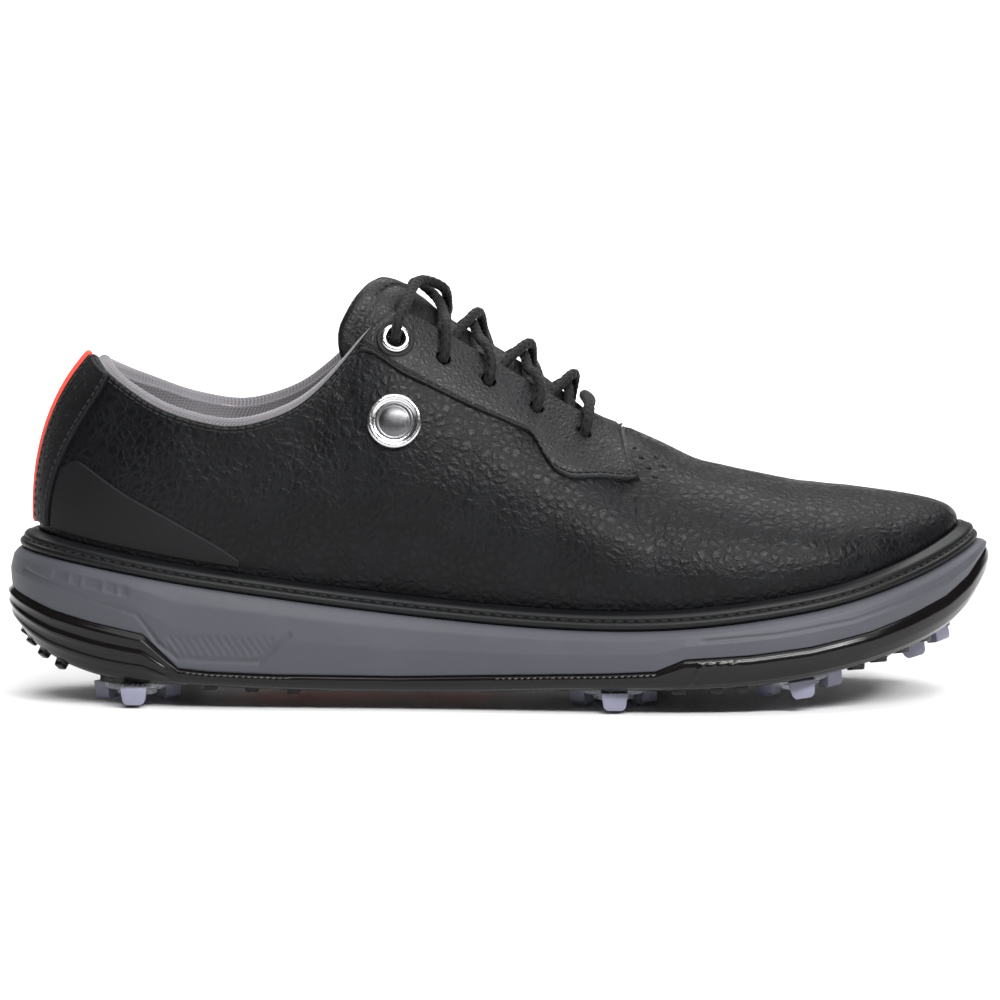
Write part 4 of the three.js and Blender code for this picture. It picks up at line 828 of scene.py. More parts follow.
LOOK = {
    "leather": leather("tumbled_leather", (0.0026, 0.0028, 0.0036), 0.003, 0.0002, 0.33),
    "trim": leather("pebbled_leather", (0.0028, 0.003, 0.0038), 0.0017, 0.00012, 0.34, 0.32),
    "edge": leather("folded_leather", (0.004, 0.0042, 0.005), 0.0014, 0.00008, 0.42),
    "lining": knit("ribbed_knit", (0.165, 0.156, 0.169), 0.0012, 0.00026),
    "tongue_knit": knit("tongue_knit", (0.09, 0.085, 0.095), 0.0014, 0.00026),
    "lace": braid("braided_lace", (0.0034, 0.0034, 0.004), 0.0026, LACE_RADIUS * MM),
    "film": moulded("heel_film", (0.0036, 0.0038, 0.0044), 0.58, depth=0.00003, scale=900.0,
                     Specular_IOR_Level=0.2),
    "piping": moulded("red_piping", (0.66, 0.055, 0.034), 0.62, depth=0.00005, scale=2200.0,
                      Sheen_Weight=0.2),
    "thread": thread("black_thread", (0.008, 0.0082, 0.0095)),
    "metal": polished("plated_metal", (0.6, 0.6, 0.61), 0.16),
    "dark_metal": polished("dark_metal", (0.13, 0.13, 0.135), 0.3),
    "rubber": moulded("welt_rubber", (0.003, 0.0032, 0.0038), 0.46, depth=0.00003, scale=1100.0,
                       Specular_IOR_Level=0.24),
    "foam": moulded("midsole_foam", (0.038, 0.0395, 0.05), 0.6, depth=0.00005, scale=750.0, wear=1.12,
                    Sheen_Weight=0.08),
    "outsole": moulded("outsole_plastic", (0.004, 0.0032, 0.0036), 0.2, depth=0.00001,
                       Specular_IOR_Level=0.22, Coat_Weight=0.02, Coat_Roughness=0.1,
                       Transmission_Weight=0.12),
    "shank": moulded("shank_plastic", (0.62, 0.05, 0.03), 0.35),
    "receptacle": moulded("receptacle_plastic", (0.012, 0.012, 0.013), 0.42),
    "clear": moulded("clear_plastic", (0.72, 0.74, 0.8), 0.26, depth=0.00001, Transmission_Weight=0.85,
                     IOR=1.35, Specular_IOR_Level=0.3),
    "accent": moulded("accent_plastic", (0.17, 0.17, 0.23), 0.42),
    "footbed": knit("footbed_fabric", (0.035, 0.036, 0.041), 0.0016, 0.0002),
    "board": moulded("fibre_board", (0.55, 0.5, 0.4), 0.85, depth=0.0002),
    "stiffener": moulded("stiffener_sheet", (0.65, 0.61, 0.54), 0.7),
    "padding": moulded("padding_foam", (0.5, 0.46, 0.4), 0.9, depth=0.0004, scale=500.0),
    "aglet": moulded("aglet_plastic", (0.012, 0.012, 0.013), 0.2, Coat_Weight=0.5),
    # The cutters' material, meant for the walls they cut in the lace holes, pinholes, perforations, sockets
    # and recess: near black, as painted shade inside them.
    "hole_shade": moulded("painted_shade_inside", (0.003, 0.003, 0.0032), 0.9),
}


# ---------------------------------------------------------------- leather upper and its lining
COLUMNS = np.linspace(0, LAST, LAST * 9 + 1)
ROWS = np.concatenate([np.linspace(0, 0.985, 50), [0.9895, 0.9935, 0.997, 0.999, 1.0]])
EDGE_ROUND = 0.9
HOLES = [(-32.3, 113.4), (-17.8, 107.0), (-3.9, 100.0), (10.9, 91.6), (25.6, 83.6)]
VAMP_HOLES = [(41.8, 79.1), (43.7, 76.4), (46.2, 73.6), (47.9, 71.1), (48.6, 76.2), (50.8, 73.8)]
WALL_HIGH = GAP + OVERLAY
WALL_LOW = -(LEATHER + GAP + LINING)
WALL_MIDDLE = (WALL_HIGH + WALL_LOW) / 2
BEND = (WALL_HIGH - WALL_LOW) / 2 + LACE_RADIUS + 3 * GAP
PUNCHED = LACE_RADIUS + 0.75
PERFORATION = 0.62
TUCK = 1.5  # how far the leather goes down behind the welt


def relief(points, scale, amount, seed=0.0):
    """Smooth random heights over points, in millimetres."""
    flat = np.asarray(points).reshape(-1, 3) / scale + seed
    made = np.array([noise.noise(Vector(p)) for p in flat])
    return made.reshape(np.shape(points)[:-1]) * amount


def share_seams(k, grids):
    """Gives the two sides the same points where they meet: at the heel, at the toe and on the crest."""
    lateral, medial = grids["lateral"], grids["medial"]
    medial[0], medial[-1] = lateral[0], lateral[-1]
    medial[k >= THROAT, -1] = lateral[k >= THROAT, -1]


def shell(name, k, outer, inner, wall, material):
    """A skin round both sides of the foot, open along the throat; wall holds the points of its top edge."""
    n, m = outer["lateral"].shape[:2]
    share_seams(k, outer)
    share_seams(k, inner)
    points, faces, uvs, start = [], [], [], 0
    free = np.sum(k < THROAT - 1e-9) + 1
    for side in SIDES:
        for grid, flip in ((outer[side], False), (inner[side], True)):
            faces += grid_faces(n, m, start + (n * m if flip else 0), flip)
            points.append(grid.reshape(-1, 3))
            uvs.append(arc_uv(grid).reshape(-1, 2))
        for i in range(n - 1):
            a = start + i * m
            faces.append([a, a + m, a + m + n * m, a + n * m])
        top = np.concatenate([outer[side][:free, -1:], wall[side][:free], inner[side][:free, -1:]], axis=1)
        base = start + 2 * n * m
        faces += grid_faces(free, top.shape[1], base)
        points.append(top.reshape(-1, 3))
        edge_uv = arc_uv(top) + np.stack([0 * top[..., 0], 200 + 0 * top[..., 0]], -1)
        uvs.append(edge_uv.reshape(-1, 2))
        start = base + free * top.shape[1]
    return add_mesh(name, np.vstack(points), faces, material, np.vstack(uvs))


def hole_frames(side):
    """Place and directions of each lace hole, from the top eyelet down."""
    frames = []
    for x, z in HOLES:
        k, v = locate(side, x, z)
        n = normal(side, k, v)
        p = surface(side, k, v)
        edge = surface(side, k, 1) - p
        to_edge = unit(edge - n * np.dot(edge, n))
        frames.append({"side": side, "k": k, "normal": n, "centre": p + n * WALL_MIDDLE, "to_edge": to_edge})
    return frames


FRAMES = {side: hole_frames(side) for side in SIDES}


def hole_cutters(side, grow=0.0):
    """Drums that punch the lace holes, moved towards the edge as the lace's bend asks."""
    sway = BEND - math.sqrt(BEND ** 2 - ((WALL_HIGH - WALL_LOW) / 2) ** 2)
    made = []
    for i, f in enumerate(FRAMES[side]):
        radius = (PUNCHED if i else EYELET_BORE + EYELET_WALL + GAP) + grow
        centre = f["centre"] + f["to_edge"] * (sway * 0.6 if i else 0)
        made.append(drum(f"cut_{side}_{i}", radius, -7, 7, frame_matrix(centre, f["normal"]), LOOK["hole_shade"]))
    return made


def perforations(side):
    """Drums that prick the vamp below the lacing."""
    made = []
    for i, (x, z) in enumerate(VAMP_HOLES):
        k, v = locate(side, x, z)
        place = frame_matrix(surface(side, k, v), normal(side, k, v))
        made.append(drum(f"prick_{side}_{i}", PERFORATION, -1.1, 3, place, LOOK["hole_shade"], 12))
    return made


def build_upper():
    k, v = np.meshgrid(COLUMNS, ROWS, indexing="ij")
    open_top = (k < THROAT).astype(float)
    t = column_parameter(COLUMNS)
    outer, inner, wall = {}, {}, {}
    for side in SIDES:
        base = surface(side, k, v)
        n = normal(side, k, v)
        to_top = np.linalg.norm(base - base[:, -1:], axis=-1) + (1 - open_top) * 50
        turn = 1 - rounded(to_top, EDGE_ROUND)
        calm = smooth(to_top, 1.0, 8.0) * smooth(v, 0.02, 0.12)
        calm = calm * smooth(k, 0.0, 2.0) * (1 - smooth(k, 21.5, 23.0))
        lumps = relief(base, 17.0, 0.55) + relief(base, 6.5, 0.22, 9.0)
        outer[side] = base + n * (calm * lumps - turn * LEATHER / 2)[..., None]
        inner[side] = base + n * (-LEATHER + turn * LEATHER / 2)[..., None]
        low, under = (level(side, t, FEATHER_INSET + extra, rim(t) - TUCK) for extra in (0, LEATHER))
        outer[side] = np.concatenate([low[:, None], outer[side]], axis=1)
        inner[side] = np.concatenate([under[:, None], inner[side]], axis=1)
        wall[side] = np.zeros((len(COLUMNS), 0, 3))
    upper = shell("vamp_and_quarters", COLUMNS, outer, inner, wall, LOOK["leather"])
    cutters = [c for side in SIDES for c in hole_cutters(side) + perforations(side)]
    carve(upper, cutters)
    piece(upper, SHOE, ["upper_leather"])


COLLAR_SECTION = [  # height above the leather's edge and depth under its face, over the collar's roll
    (-0.4, -2.05), (0.7, -1.95), (1.7, -2.35), (2.3, -3.2), (2.5, -4.2), (2.2, -5.3), (1.3, -6.3),
    (-0.2, -7.0),
]


def build_lining():
    rows = np.concatenate([np.linspace(0, 0.94, 40), [0.96, 0.975, 0.99, 1.0]])
    k, v = np.meshgrid(COLUMNS, rows, indexing="ij")
    roll = (1 - smooth(COLUMNS, 8.6, 10.6)) * (COLUMNS < THROAT)
    t = column_parameter(COLUMNS)
    outer, inner, wall = {}, {}, {}
    for side in SIDES:
        n = normal(side, k, v)
        base = surface(side, k, v)
        depth = lining_depth(k, v)
        # behind the leather's edge the padding lets the knit come up close to the leather
        near = roll[:, None] * smooth(v, 0.9, 1.0)
        outer[side] = base - n * (depth * (1 - near) + (LEATHER + GAP + 0.1) * near)[..., None]
        puff = 0.5 * pad_share(k, v) * np.sin(math.pi * smooth(v, 0.5, 1.0))
        puff = puff + relief(base, 15.0, 0.25, 3.0) * (v < 0.99)
        inner[side] = base - n * (depth + LINING + puff)[..., None]
        edge = surface(side, COLUMNS, 1.0)
        up = unit(edge - surface(side, COLUMNS, 0.99))
        out = normal(side, COLUMNS, np.ones_like(COLUMNS) * (1 - 1e-5))
        section = np.stack([edge + up * h + out * d for h, d in COLLAR_SECTION], axis=1)
        share = np.linspace(0, 1, len(COLLAR_SECTION) + 2)[1:-1, None]
        straight = outer[side][:, -1:] * (1 - share) + inner[side][:, -1:] * share
        wall[side] = section * roll[:, None, None] + straight * (1 - roll[:, None, None])
        depth0 = lining_depth(COLUMNS, 0 * COLUMNS)
        feet = [level(side, t, FEATHER_INSET + depth0 + extra, sock_z) for extra in (0, LINING)]
        outer[side] = np.concatenate([feet[0][:, None], outer[side]], axis=1)
        inner[side] = np.concatenate([feet[1][:, None], inner[side]], axis=1)
    lining = shell("collar_and_lining", COLUMNS, outer, inner, wall, LOOK["lining"])
    carve(lining, [c for side in SIDES for c in hole_cutters(side, 0.1)])
    piece(lining, SHOE, ["lining"])


# ---------------------------------------------------------------- pieces laid on the upper
EYESTAY_EDGE = [
    (-43.6, 109.6), (-31.4, 104.0), (-18.8, 97.6), (-6.2, 91.6), (3.3, 87.4), (10.6, 83.2), (15.0, 75.6),
    (20.0, 71.8), (31.7, 70.9), (43.0, 70.6),
]
EYESTAY_TOP = [9.05, 9.8, 10.6, 11.4, 12.2, 13, 13.8, 14.6, 15.4, 16.2]
FILM_EDGE = [
    (-136.4, 73.0), (-132.0, 75.6), (-124.0, 71.4), (-112.0, 64.0), (-98.0, 56.6), (-87.0, 50.4),
    (-80.0, 45.6),
]
BOTTOM_SHARE = 0.03  # heights, as shares of the upper, between which the overlays run
TOP_SHARE = 0.985
BACKSTAY_START = 0.03
BACKSTAY_END = 1.3
BACKSTAY_PIN = 0.58  # radius of its pinholes
BACKSTAY_PINS = (0.82, 0.52)  # stations of its two rows of pinholes
PIN_PITCH = 2.7
BADGE_PLACE = (-32.3, 89.0)
SEAM_INSET = 2.1
BORDER = np.array([0, 0.006, 0.014, 0.024, 0.036, 0.05, 0.066, 0.084])  # close rows along a border
TIGHT = np.concatenate([BORDER, np.linspace(0.105, 0.895, 34), 1 - BORDER[::-1]])
UNDERLAP = 0.45  # how deep an overlay's underside lies in the leather, so that no gap shows


def strip(low, high, ends=TIGHT):
    """Grid of (k, v) between two rows of (k, v) points, with close rows along all its borders."""
    rows = []
    for row in (low, high):
        line = catmull([(*p, 0) for p in row], 12)
        at = ends * (len(line) - 1)
        rows.append(np.stack([np.interp(at, np.arange(len(line)), line[:, i]) for i in range(2)], -1))
    grid = rows[0][:, None] * (1 - TIGHT[None, :, None]) + rows[1][:, None] * TIGHT[None, :, None]
    return np.clip(grid[..., 0], 0, LAST), grid[..., 1]


def overlay(name, side, k, v, thickness, material, radius, groove=0.0, skip=(), grain=0.0):
    """A skin on the upper with rounded edges and, if wanted, a groove along them for a seam."""
    base = surface(side, k, v)
    n = normal(side, k, v)
    distance = edge_distance(base, skip)
    height = (thickness + GAP + 0.25) * rounded(edge_distance(base), radius) - 0.25
    height = height - groove * np.exp(-((distance - SEAM_INSET) / 0.55) ** 2)
    height = height + groove * 0.35 * np.exp(-((distance - SEAM_INSET + 1.15) / 0.5) ** 2)
    if grain:
        height = height + relief(base, 3.5, grain, 5.0) * smooth(distance, 0.5, 2.5)
    face = base + n * height[..., None]
    return slab(name, face, base - n * UNDERLAP, material), base, n, face


def build_eyestays():
    ends = np.concatenate([BORDER * 0.5, np.linspace(0.05, 0.95, 76), 1 - BORDER[::-1] * 0.5])
    for side in SIDES:
        low = [locate(side, x, z) for x, z in EYESTAY_EDGE]
        k, v = strip(low, [(k, TOP_SHARE) for k in EYESTAY_TOP], ends)
        stay, base, n, face = overlay("facing_" + side, side, k, v, OVERLAY, LOOK["trim"], 0.8, 0.5,
                                      skip=("high", "start"), grain=0.1)
        carve(stay, hole_cutters(side))
        piece(stay, SHOE, ["eyestay_" + side])
        d = np.cumsum(np.linalg.norm(np.diff(base, axis=1), axis=-1), axis=1)
        d = np.hstack([np.zeros((len(d), 1)), d])
        path, normals = [], []
        for i in range(3, len(face) - 4):
            j = np.interp(SEAM_INSET, d[i], np.arange(d.shape[1]))
            a = int(j)
            path.append(face[i, a] * (1 - j + a) + face[i, a + 1] * (j - a))
            normals.append(n[i, a])
        sew("facing_seam_" + side, path, normals, "facing")


def build_films():
    for side in SIDES:
        high = [locate(side, x, z) for x, z in FILM_EDGE]
        low = [(k, BOTTOM_SHARE) for k, _ in high]
        k, v = strip(low, [(k, max(v, 0.07)) for k, v in high])
        film, *_ = overlay("heel_film_" + side + "_skin", side, k, v, FILM, LOOK["film"], 0.7)
        piece(film, SHOE, ["heel_film_" + side])


def build_backstay():
    for side in SIDES:
        ks = [BACKSTAY_START + (BACKSTAY_END - BACKSTAY_START) * i / 6 for i in range(7)]
        k, v = strip([(k, BOTTOM_SHARE) for k in ks], [(k, TOP_SHARE) for k in ks])
        stay, *_ = overlay("back_strip_" + side, side, k, v, OVERLAY, LOOK["edge"], 0.7)
        length = np.linalg.norm(surface(side, 0.6, 1.0) - surface(side, 0.6, 0.0))
        rows = int(length * 0.86 / PIN_PITCH)
        cutters = []
        for i in range(rows):
            share = 0.08 + 0.86 * i / max(1, rows - 1)
            station = BACKSTAY_PINS[i % 2]
            place = frame_matrix(surface(side, station, share), normal(side, station, share))
            cutters.append(drum(f"pin_{side}_{i}", BACKSTAY_PIN, 0.3, 4, place, LOOK["hole_shade"], 10))
        carve(stay, cutters)
        piece(stay, SHOE, ["backstay_" + side])
        vs = np.linspace(0.06, 0.965, 60)
        for station, tag in ((BACKSTAY_END - 0.09, "front"), (0.22, "rear")):
            n = normal(side, station, vs)
            path = surface(side, station, vs) + n * (GAP + OVERLAY - 0.1)
            sew(f"back_seam_{tag}_{side}", path, n, "back")


def build_collar_seam():
    ks = np.linspace(1.4, 8.9, 160)
    for side in SIDES:
        for share, tag in ((0.972, "upper"), (0.945, "lower")):
            n = normal(side, ks, share)
            path = surface(side, ks, share) + n * 0.02
            sew(f"collar_seam_{tag}_{side}", path, n, "collar")


def build_piping():
    v = np.linspace(0.02, 0.995, 60)
    path = offset("lateral", 0 * v, v, GAP + PIPING_RADIUS - 0.15 + 0 * v)
    tube = sweep("heel_piping_cord", path, PIPING_RADIUS * 1.4, LOOK["piping"])
    piece(tube, SHOE, ["heel_piping"])


def build_badge():
    k, v = locate("lateral", *BADGE_PLACE)
    place = frame_matrix(surface("lateral", k, v), normal("lateral", k, v))
    r = BADGE_RADIUS
    ring = lathe("badge_rim", [
        (r - 2.6, -1.2), (r, -1.2), (r, 0.9), (r - 0.15, 1.45), (r - 0.5, 1.8), (r - 1.0, 1.95),
        (r - 1.5, 1.85), (r - 1.85, 1.55), (r - 2.1, 1.2), (r - 2.6, 1.15),
    ], place, LOOK["metal"], 64)
    dome = lathe("badge_dome", [
        (0, -1.0), (r - 2.45, -1.0), (r - 2.45, 1.0), (r - 2.8, 1.3), (r - 3.2, 1.38), (r - 3.6, 1.2),
        (r - 3.9, 1.18), (r - 4.2, 1.4), (r - 5.0, 1.68), (2.0, 1.92), (1.0, 2.0), (0, 2.02),
    ], place, LOOK["dark_metal"], 64)
    piece(ring, SHOE, ["badge"])
    piece(dome, SHOE, ())


def build_eyelets():
    high, low = WALL_HIGH - WALL_MIDDLE, WALL_LOW - WALL_MIDDLE
    bore = EYELET_BORE
    for side in SIDES:
        f = FRAMES[side][0]
        place = frame_matrix(f["centre"], f["normal"])
        ring = lathe("eyelet_ring_" + side, [
            (bore, low - 1.4), (bore + 0.8, low - 1.4), (bore + 1.0, low - 0.9), (bore + 0.45, low - 0.8),
            (bore + 0.45, high + 0.1), (bore + 1.85, high + 0.1), (bore + 2.0, high + 0.4),
            (bore + 1.85, high + 0.8), (bore + 1.45, high + 1.12), (bore + 0.9, high + 1.25),
            (bore + 0.4, high + 1.12), (bore + 0.1, high + 0.8), (bore, high + 0.3),
        ], place, LOOK["metal"], 48)
        piece(ring, SHOE, ["eyelet_" + side])
        washer = lathe("eyelet_seat_" + side, [
            (bore + 1.9, high - 0.9), (bore + 3.3, high - 0.9), (bore + 3.3, high + 0.05),
            (bore + 3.0, high + 0.22), (bore + 2.1, high + 0.22), (bore + 1.9, high + 0.1),
        ], place, LOOK["film"], 48)
        piece(washer, SHOE, ())


# ---------------------------------------------------------------- tongue
TONGUE_DEPTH = -WALL_LOW + 3 * GAP + 2 * LACE_RADIUS + 2
TONGUE_BULGE = 2.4
TONGUE_BASE_DEPTH = -WALL_LOW + 2 * GAP
TONGUE_CREST = [  # x, z and the upper's station beside it, from the base to the free end
    (54, 73.6, 17.8), (47, 77.2, 17.3), (38, 80.2, 16.4), (28, 89.4, 15.3), (16, 99.2, 14.3),
    (3, 107.6, 13.5), (-10, 115.3, 12.8), (-19, 121.2, 12.1), (-26, 127.0, 11.4), (-31.6, 131.2, 10.8),
]
TONGUE_SIDE = [0.86, 0.84, 0.82, 0.8, 0.8, 0.8, 0.8, 0.82]
TONGUE_WING = [0.74, 0.7, 0.66, 0.64, 0.63, 0.63, 0.64, 0.68]
TONGUE_DROP = [0, 0.35, 1.15, 1.6, 1.3, 1, 1, 1]
TONGUE_FREE = [((-36.0, 16.4, 121.8), (-47.0, 19.6, 104.5)), ((-44.5, 15.6, 127.2), (-53.5, 19.2, 110.0))]
TONGUE_LEATHER = 1.1
TONGUE_FOAM = [1.5, 2, 2.6, 3.2, 3.8, 4.2, 4.6, 5, 5.2, 4.6]
TONGUE_COLUMNS = 12
TONGUE_CORNER = 10.0
TONGUE_EDGE = 2.6
TONGUE_SEAM_INSET = 5.5
TONGUE_SEAM_START = 0.62  # share of the tongue's length where its stitches begin


def tongue_sections():
    """Seven points across the tongue at each station of its crest, lateral to medial."""
    made = []
    for i, (x, z, k) in enumerate(TONGUE_CREST):
        centre = np.array([x, crest_y(x), z], float)
        half = {}
        for side in SIDES:
            if i < len(TONGUE_SIDE):
                depth = TONGUE_BASE_DEPTH + (TONGUE_DEPTH - TONGUE_BASE_DEPTH) * TONGUE_DROP[i]
                half[side] = [offset(side, k, v, -depth) for v in (TONGUE_SIDE[i], TONGUE_WING[i])]
            else:
                half[side] = [np.array([fx, SIGN[side] * fy, fz], float)
                              for fx, fy, fz in TONGUE_FREE[i - len(TONGUE_SIDE)]]
        shoulder = {}
        for side in SIDES:
            edge = half[side][0]
            along = centre - edge
            out = unit(np.array([0, SIGN[side] * along[2], -SIGN[side] * along[1]]))
            shoulder[side] = (edge + centre) / 2 + out * (TONGUE_BULGE * smooth(i, 1, 6) + 1)
        (ls, lw), (ms, mw) = half["lateral"], half["medial"]
        made.append([lw, ls, shoulder["lateral"], centre, shoulder["medial"], ms, mw])
    return np.array(made)


def grid_normals(grid, spread=1):
    """Normals of a grid of points, evened out over their neighbours."""
    padded = np.pad(grid, ((1, 1), (1, 1), (0, 0)), mode="edge")
    along = padded[2:, 1:-1] - padded[:-2, 1:-1]
    across = padded[1:-1, 2:] - padded[1:-1, :-2]
    raw = unit(np.cross(across, along))
    total = np.zeros_like(raw)
    wide = np.pad(raw, ((spread, spread), (spread, spread), (0, 0)), mode="edge")
    n, m = raw.shape[:2]
    for di in range(2 * spread + 1):
        for dj in range(2 * spread + 1):
            total += wide[di:di + n, dj:dj + m]
    return unit(total)


SECTIONS = tongue_sections()
TONGUE_GRID = np.array([catmull(row, 2) for row in SECTIONS])
TONGUE_NORMALS = grid_normals(TONGUE_GRID)


def round_corners(grid, radius):
    """Pulls the two corners at the grid's last row in to a radius."""
    lengths = np.linalg.norm(np.diff(grid, axis=0), axis=-1)
    to_end = np.vstack([np.cumsum(lengths[::-1], axis=0)[::-1], np.zeros((1, grid.shape[1]))])
    widths = np.linalg.norm(np.diff(grid, axis=1), axis=-1)
    left = np.hstack([np.zeros((len(grid), 1)), np.cumsum(widths, axis=1)])
    right = left[:, -1:] - left
    along = unit(np.gradient(grid, axis=0))
    across = unit(np.gradient(grid, axis=1)) * np.where(left < right, 1.0, -1.0)[..., None]
    u = np.clip(radius - to_end, 0, None)
    w = np.clip(radius - np.minimum(left, right), 0, None)
    pull = 1 - np.maximum(u, w) / np.maximum(np.hypot(u, w), 1e-9)
    pull = np.where((u > 0) & (w > 0), pull, 0)
    return grid - along * (u * pull)[..., None] + across * (w * pull)[..., None]


def build_tongue():
    across = np.array([catmull(row, 7) for row in SECTIONS])
    grid = np.stack([catmull(across[:, j], 12) for j in range(across.shape[1])], axis=1)
    grid = round_corners(grid, TONGUE_CORNER)
    n = grid_normals(grid, 4)
    rows = np.linspace(0, len(SECTIONS) - 1, len(grid))
    foam = np.interp(rows, np.arange(len(TONGUE_FOAM)), TONGUE_FOAM)[:, None]
    distance = edge_distance(grid, ("start",))
    thick = TONGUE_LEATHER + 2 * GAP + 0.7 + foam * (0.35 + 0.65 * smooth(distance, 0, 14))
    turn = 1 - rounded(distance, TONGUE_EDGE)
    free = smooth(rows, 6.2, 8.2)[:, None]
    groove = np.exp(-((distance - TONGUE_SEAM_INSET) / 0.7) ** 2) * smooth(rows, 1.5, 3)[:, None]
    puff = 0.7 * free * smooth(distance, 6, 12) + relief(grid, 16.0, 0.5) + relief(grid, 5.0, 0.16, 4.0)
    top = grid + n * (puff * 0.6 - 0.45 * groove - turn * thick * 0.5)[..., None]
    base = grid - n * (thick * (1 - 0.5 * turn))[..., None]
    n_rows, n_cols = grid.shape[:2]
    tongue = slab("tongue_cushion", top, base, [LOOK["trim"], LOOK["tongue_knit"]], arc_uv(grid))
    # the back of the cushion is knit: its faces look away from the leather's side
    centres = np.array([p.center for p in tongue.data.polygons]) / MM - SHIFT
    for polygon, centre in zip(tongue.data.polygons, centres):
        i = np.argmin(np.linalg.norm(grid.reshape(-1, 3)[::5] - centre, axis=-1)) * 5
        if np.dot(np.array(polygon.normal), n.reshape(-1, 3)[i]) < -0.35:
            polygon.material_index = 1
    piece(tongue, "tongue", ["tongue_leather", "tongue_foam", "tongue_lining"])
    # stitches in the groove that runs round the tongue's edge
    inset = np.abs(distance[:, :n_cols // 2] - TONGUE_SEAM_INSET)
    j_in = np.argmin(inset, axis=1).tolist()
    j_out = [n_cols - 1 - j for j in j_in]
    start, stop = int(TONGUE_SEAM_START * n_rows), n_rows - 7
    line = [(i, j_in[i]) for i in range(start, stop)]
    line += [(stop, j) for j in range(j_in[stop], j_out[stop])]
    line += [(i, j_out[i]) for i in range(stop, start, -1)]
    path = np.array([top[i, j] for i, j in line])
    normals = np.array([n[i, j] for i, j in line])
    for _ in range(6):
        path[1:-1] = (path[:-2] + 2 * path[1:-1] + path[2:]) / 4
    sew("tongue_seam", path, normals, "tongue", "tongue")


# ---------------------------------------------------------------- lace
EDGE_LIFT = WALL_HIGH + LACE_RADIUS + 2 * GAP
CROSSING_LIFT = 2 * LACE_RADIUS + 2 * GAP
TAIL_STATIONS = [8.9, 8.2, 7.4, 6.6, 5.8, 5, 4.4]
EYELET_BEND = 9.5
EYELET_ENTRY = 6.5  # the lace comes into the metal eyelet in a tighter bend
TAIL_WALL = [(10.8, 0.58), (10.5, 0.47), (10.1, 0.34), (9.6, 0.2)]  # station and height of a tail on the wall
THROUGH = [90, 45, 0, -45, -90]  # degrees round a hole, from above the facing to beneath it
LACE_STEP = 0.42


def on_tongue(k, u, lift=0.0):
    """Centre of the lace on the tongue: station k down its length, u from -1 lateral to 1 medial."""
    rows = [row[2] for row in TONGUE_CREST]
    after = min(max(next((i for i, value in enumerate(rows) if value <= k), 0), 1), len(rows) - 1)
    down = min(max((rows[after - 1] - k) / (rows[after - 1] - rows[after]), 0), 1)
    across = (u + 1) / 2 * TONGUE_COLUMNS
    j = min(TONGUE_COLUMNS - 1, int(across))
    f = across - j

    def mix(grid):
        a = grid[after - 1, j] * (1 - f) + grid[after - 1, j + 1] * f
        b = grid[after, j] * (1 - f) + grid[after, j + 1] * f
        return a * (1 - down) + b * down

    clear = LACE_RADIUS + (3.5 if abs(u) < 0.4 else 1.5) * GAP
    return mix(TONGUE_GRID) + mix(TONGUE_NORMALS) * (clear + lift)


def over_edge(side, k):
    return offset(side, k, 1.0, EDGE_LIFT)


def lace_arc(f, angles, bend=BEND, turn=1):
    """Round the facing's edge side of a hole, from above (90) through the hole (0) to beneath (-90)."""
    return [f["centre"] + f["to_edge"] * (turn * bend * (1 - math.cos(math.radians(a))))
            + f["normal"] * (bend * math.sin(math.radians(a))) for a in angles]


def lace_strand(a, b, lift, from_above, into_above):
    """Points of the lace from the hole a to the hole b over the tongue."""
    bend = 1.9 if into_above else 1.0  # the top strands cross low before they rise to the eyelets
    sign = SIGN[b["side"]]

    def k(share):
        return a["k"] + (b["k"] - a["k"]) * share ** bend

    return [
        over_edge(a["side"], k(0.1)) if from_above else on_tongue(k(0.12), -0.42 * sign),
        on_tongue(k(0.3), -0.2 * sign, lift / 2 + 1.2 if from_above else lift / 3),
        on_tongue(k(0.5), 0, lift),
        on_tongue(k(0.7), 0.2 * sign, lift / 2 + 1.2 if into_above else lift / 3),
        over_edge(b["side"], k(0.9)) if into_above else on_tongue(k(0.88), 0.42 * sign),
    ]


def lace_tail(side):
    """Points of a tail from its eyelet down the lining and back along the footbed."""
    wall = [offset(side, k, v, -(lining_depth(k, v) + LINING + LACE_RADIUS + 3 * GAP)) for k, v in TAIL_WALL]
    floor = []
    for i, k in enumerate(TAIL_STATIONS):
        inset, lift = (24.0, 0) if i else (21.0, 4)  # the first point is still in the turn from the wall
        p = level(side, column_parameter(k), inset, sock_z)
        floor.append(p + [0, 0, SOCKLINER + LACE_RADIUS + 2 * GAP + lift])
    return lace_arc(FRAMES[side][0], [-14, -30], EYELET_BEND, -1) + wall + floor


def lace_half(side, over):
    """Points of the lace from its lowest hole on one side up to an eyelet and down its tail."""
    source = FRAMES[side][4]
    points = lace_arc(source, THROUGH)
    for i, row in enumerate((3, 2, 1, 0)):
        target = FRAMES[OTHER[side] if source["side"] == side else side][row]
        lift = CROSSING_LIFT if (i + over) % 2 else 0
        points += lace_strand(source, target, lift, i > 0, row == 0)
        points += lace_arc(target, THROUGH[::-1]) if row else lace_arc(target, [66, 44, 22, 0], EYELET_ENTRY)
        source = target
    return points + lace_tail(source["side"])


def braid_bumps(distance, angle):
    """The lace's radius as a share of its own, with the bumps of its yarns."""
    turns = 2 * math.pi * distance
    return 1 + 0.05 * np.sin(turns / 2.4 + 2 * angle) + 0.02 * np.sin(turns / 1.2 - 4 * angle)


def build_lace():
    ends = [FRAMES[side][4]["k"] for side in SIDES]
    across = [over_edge("lateral", ends[0]), on_tongue(ends[0], 0, 0.6), over_edge("medial", ends[1])]
    route = lace_half("lateral", 0)[::-1] + across + lace_half("medial", 1)
    path = resample(catmull([np.asarray(p, float).reshape(3) for p in route], 8), LACE_STEP)
    lace = sweep("lace_braid", path, LACE_RADIUS * 0.985, LOOK["lace"], braid_bumps)
    piece(lace, SHOE, ["lace"])


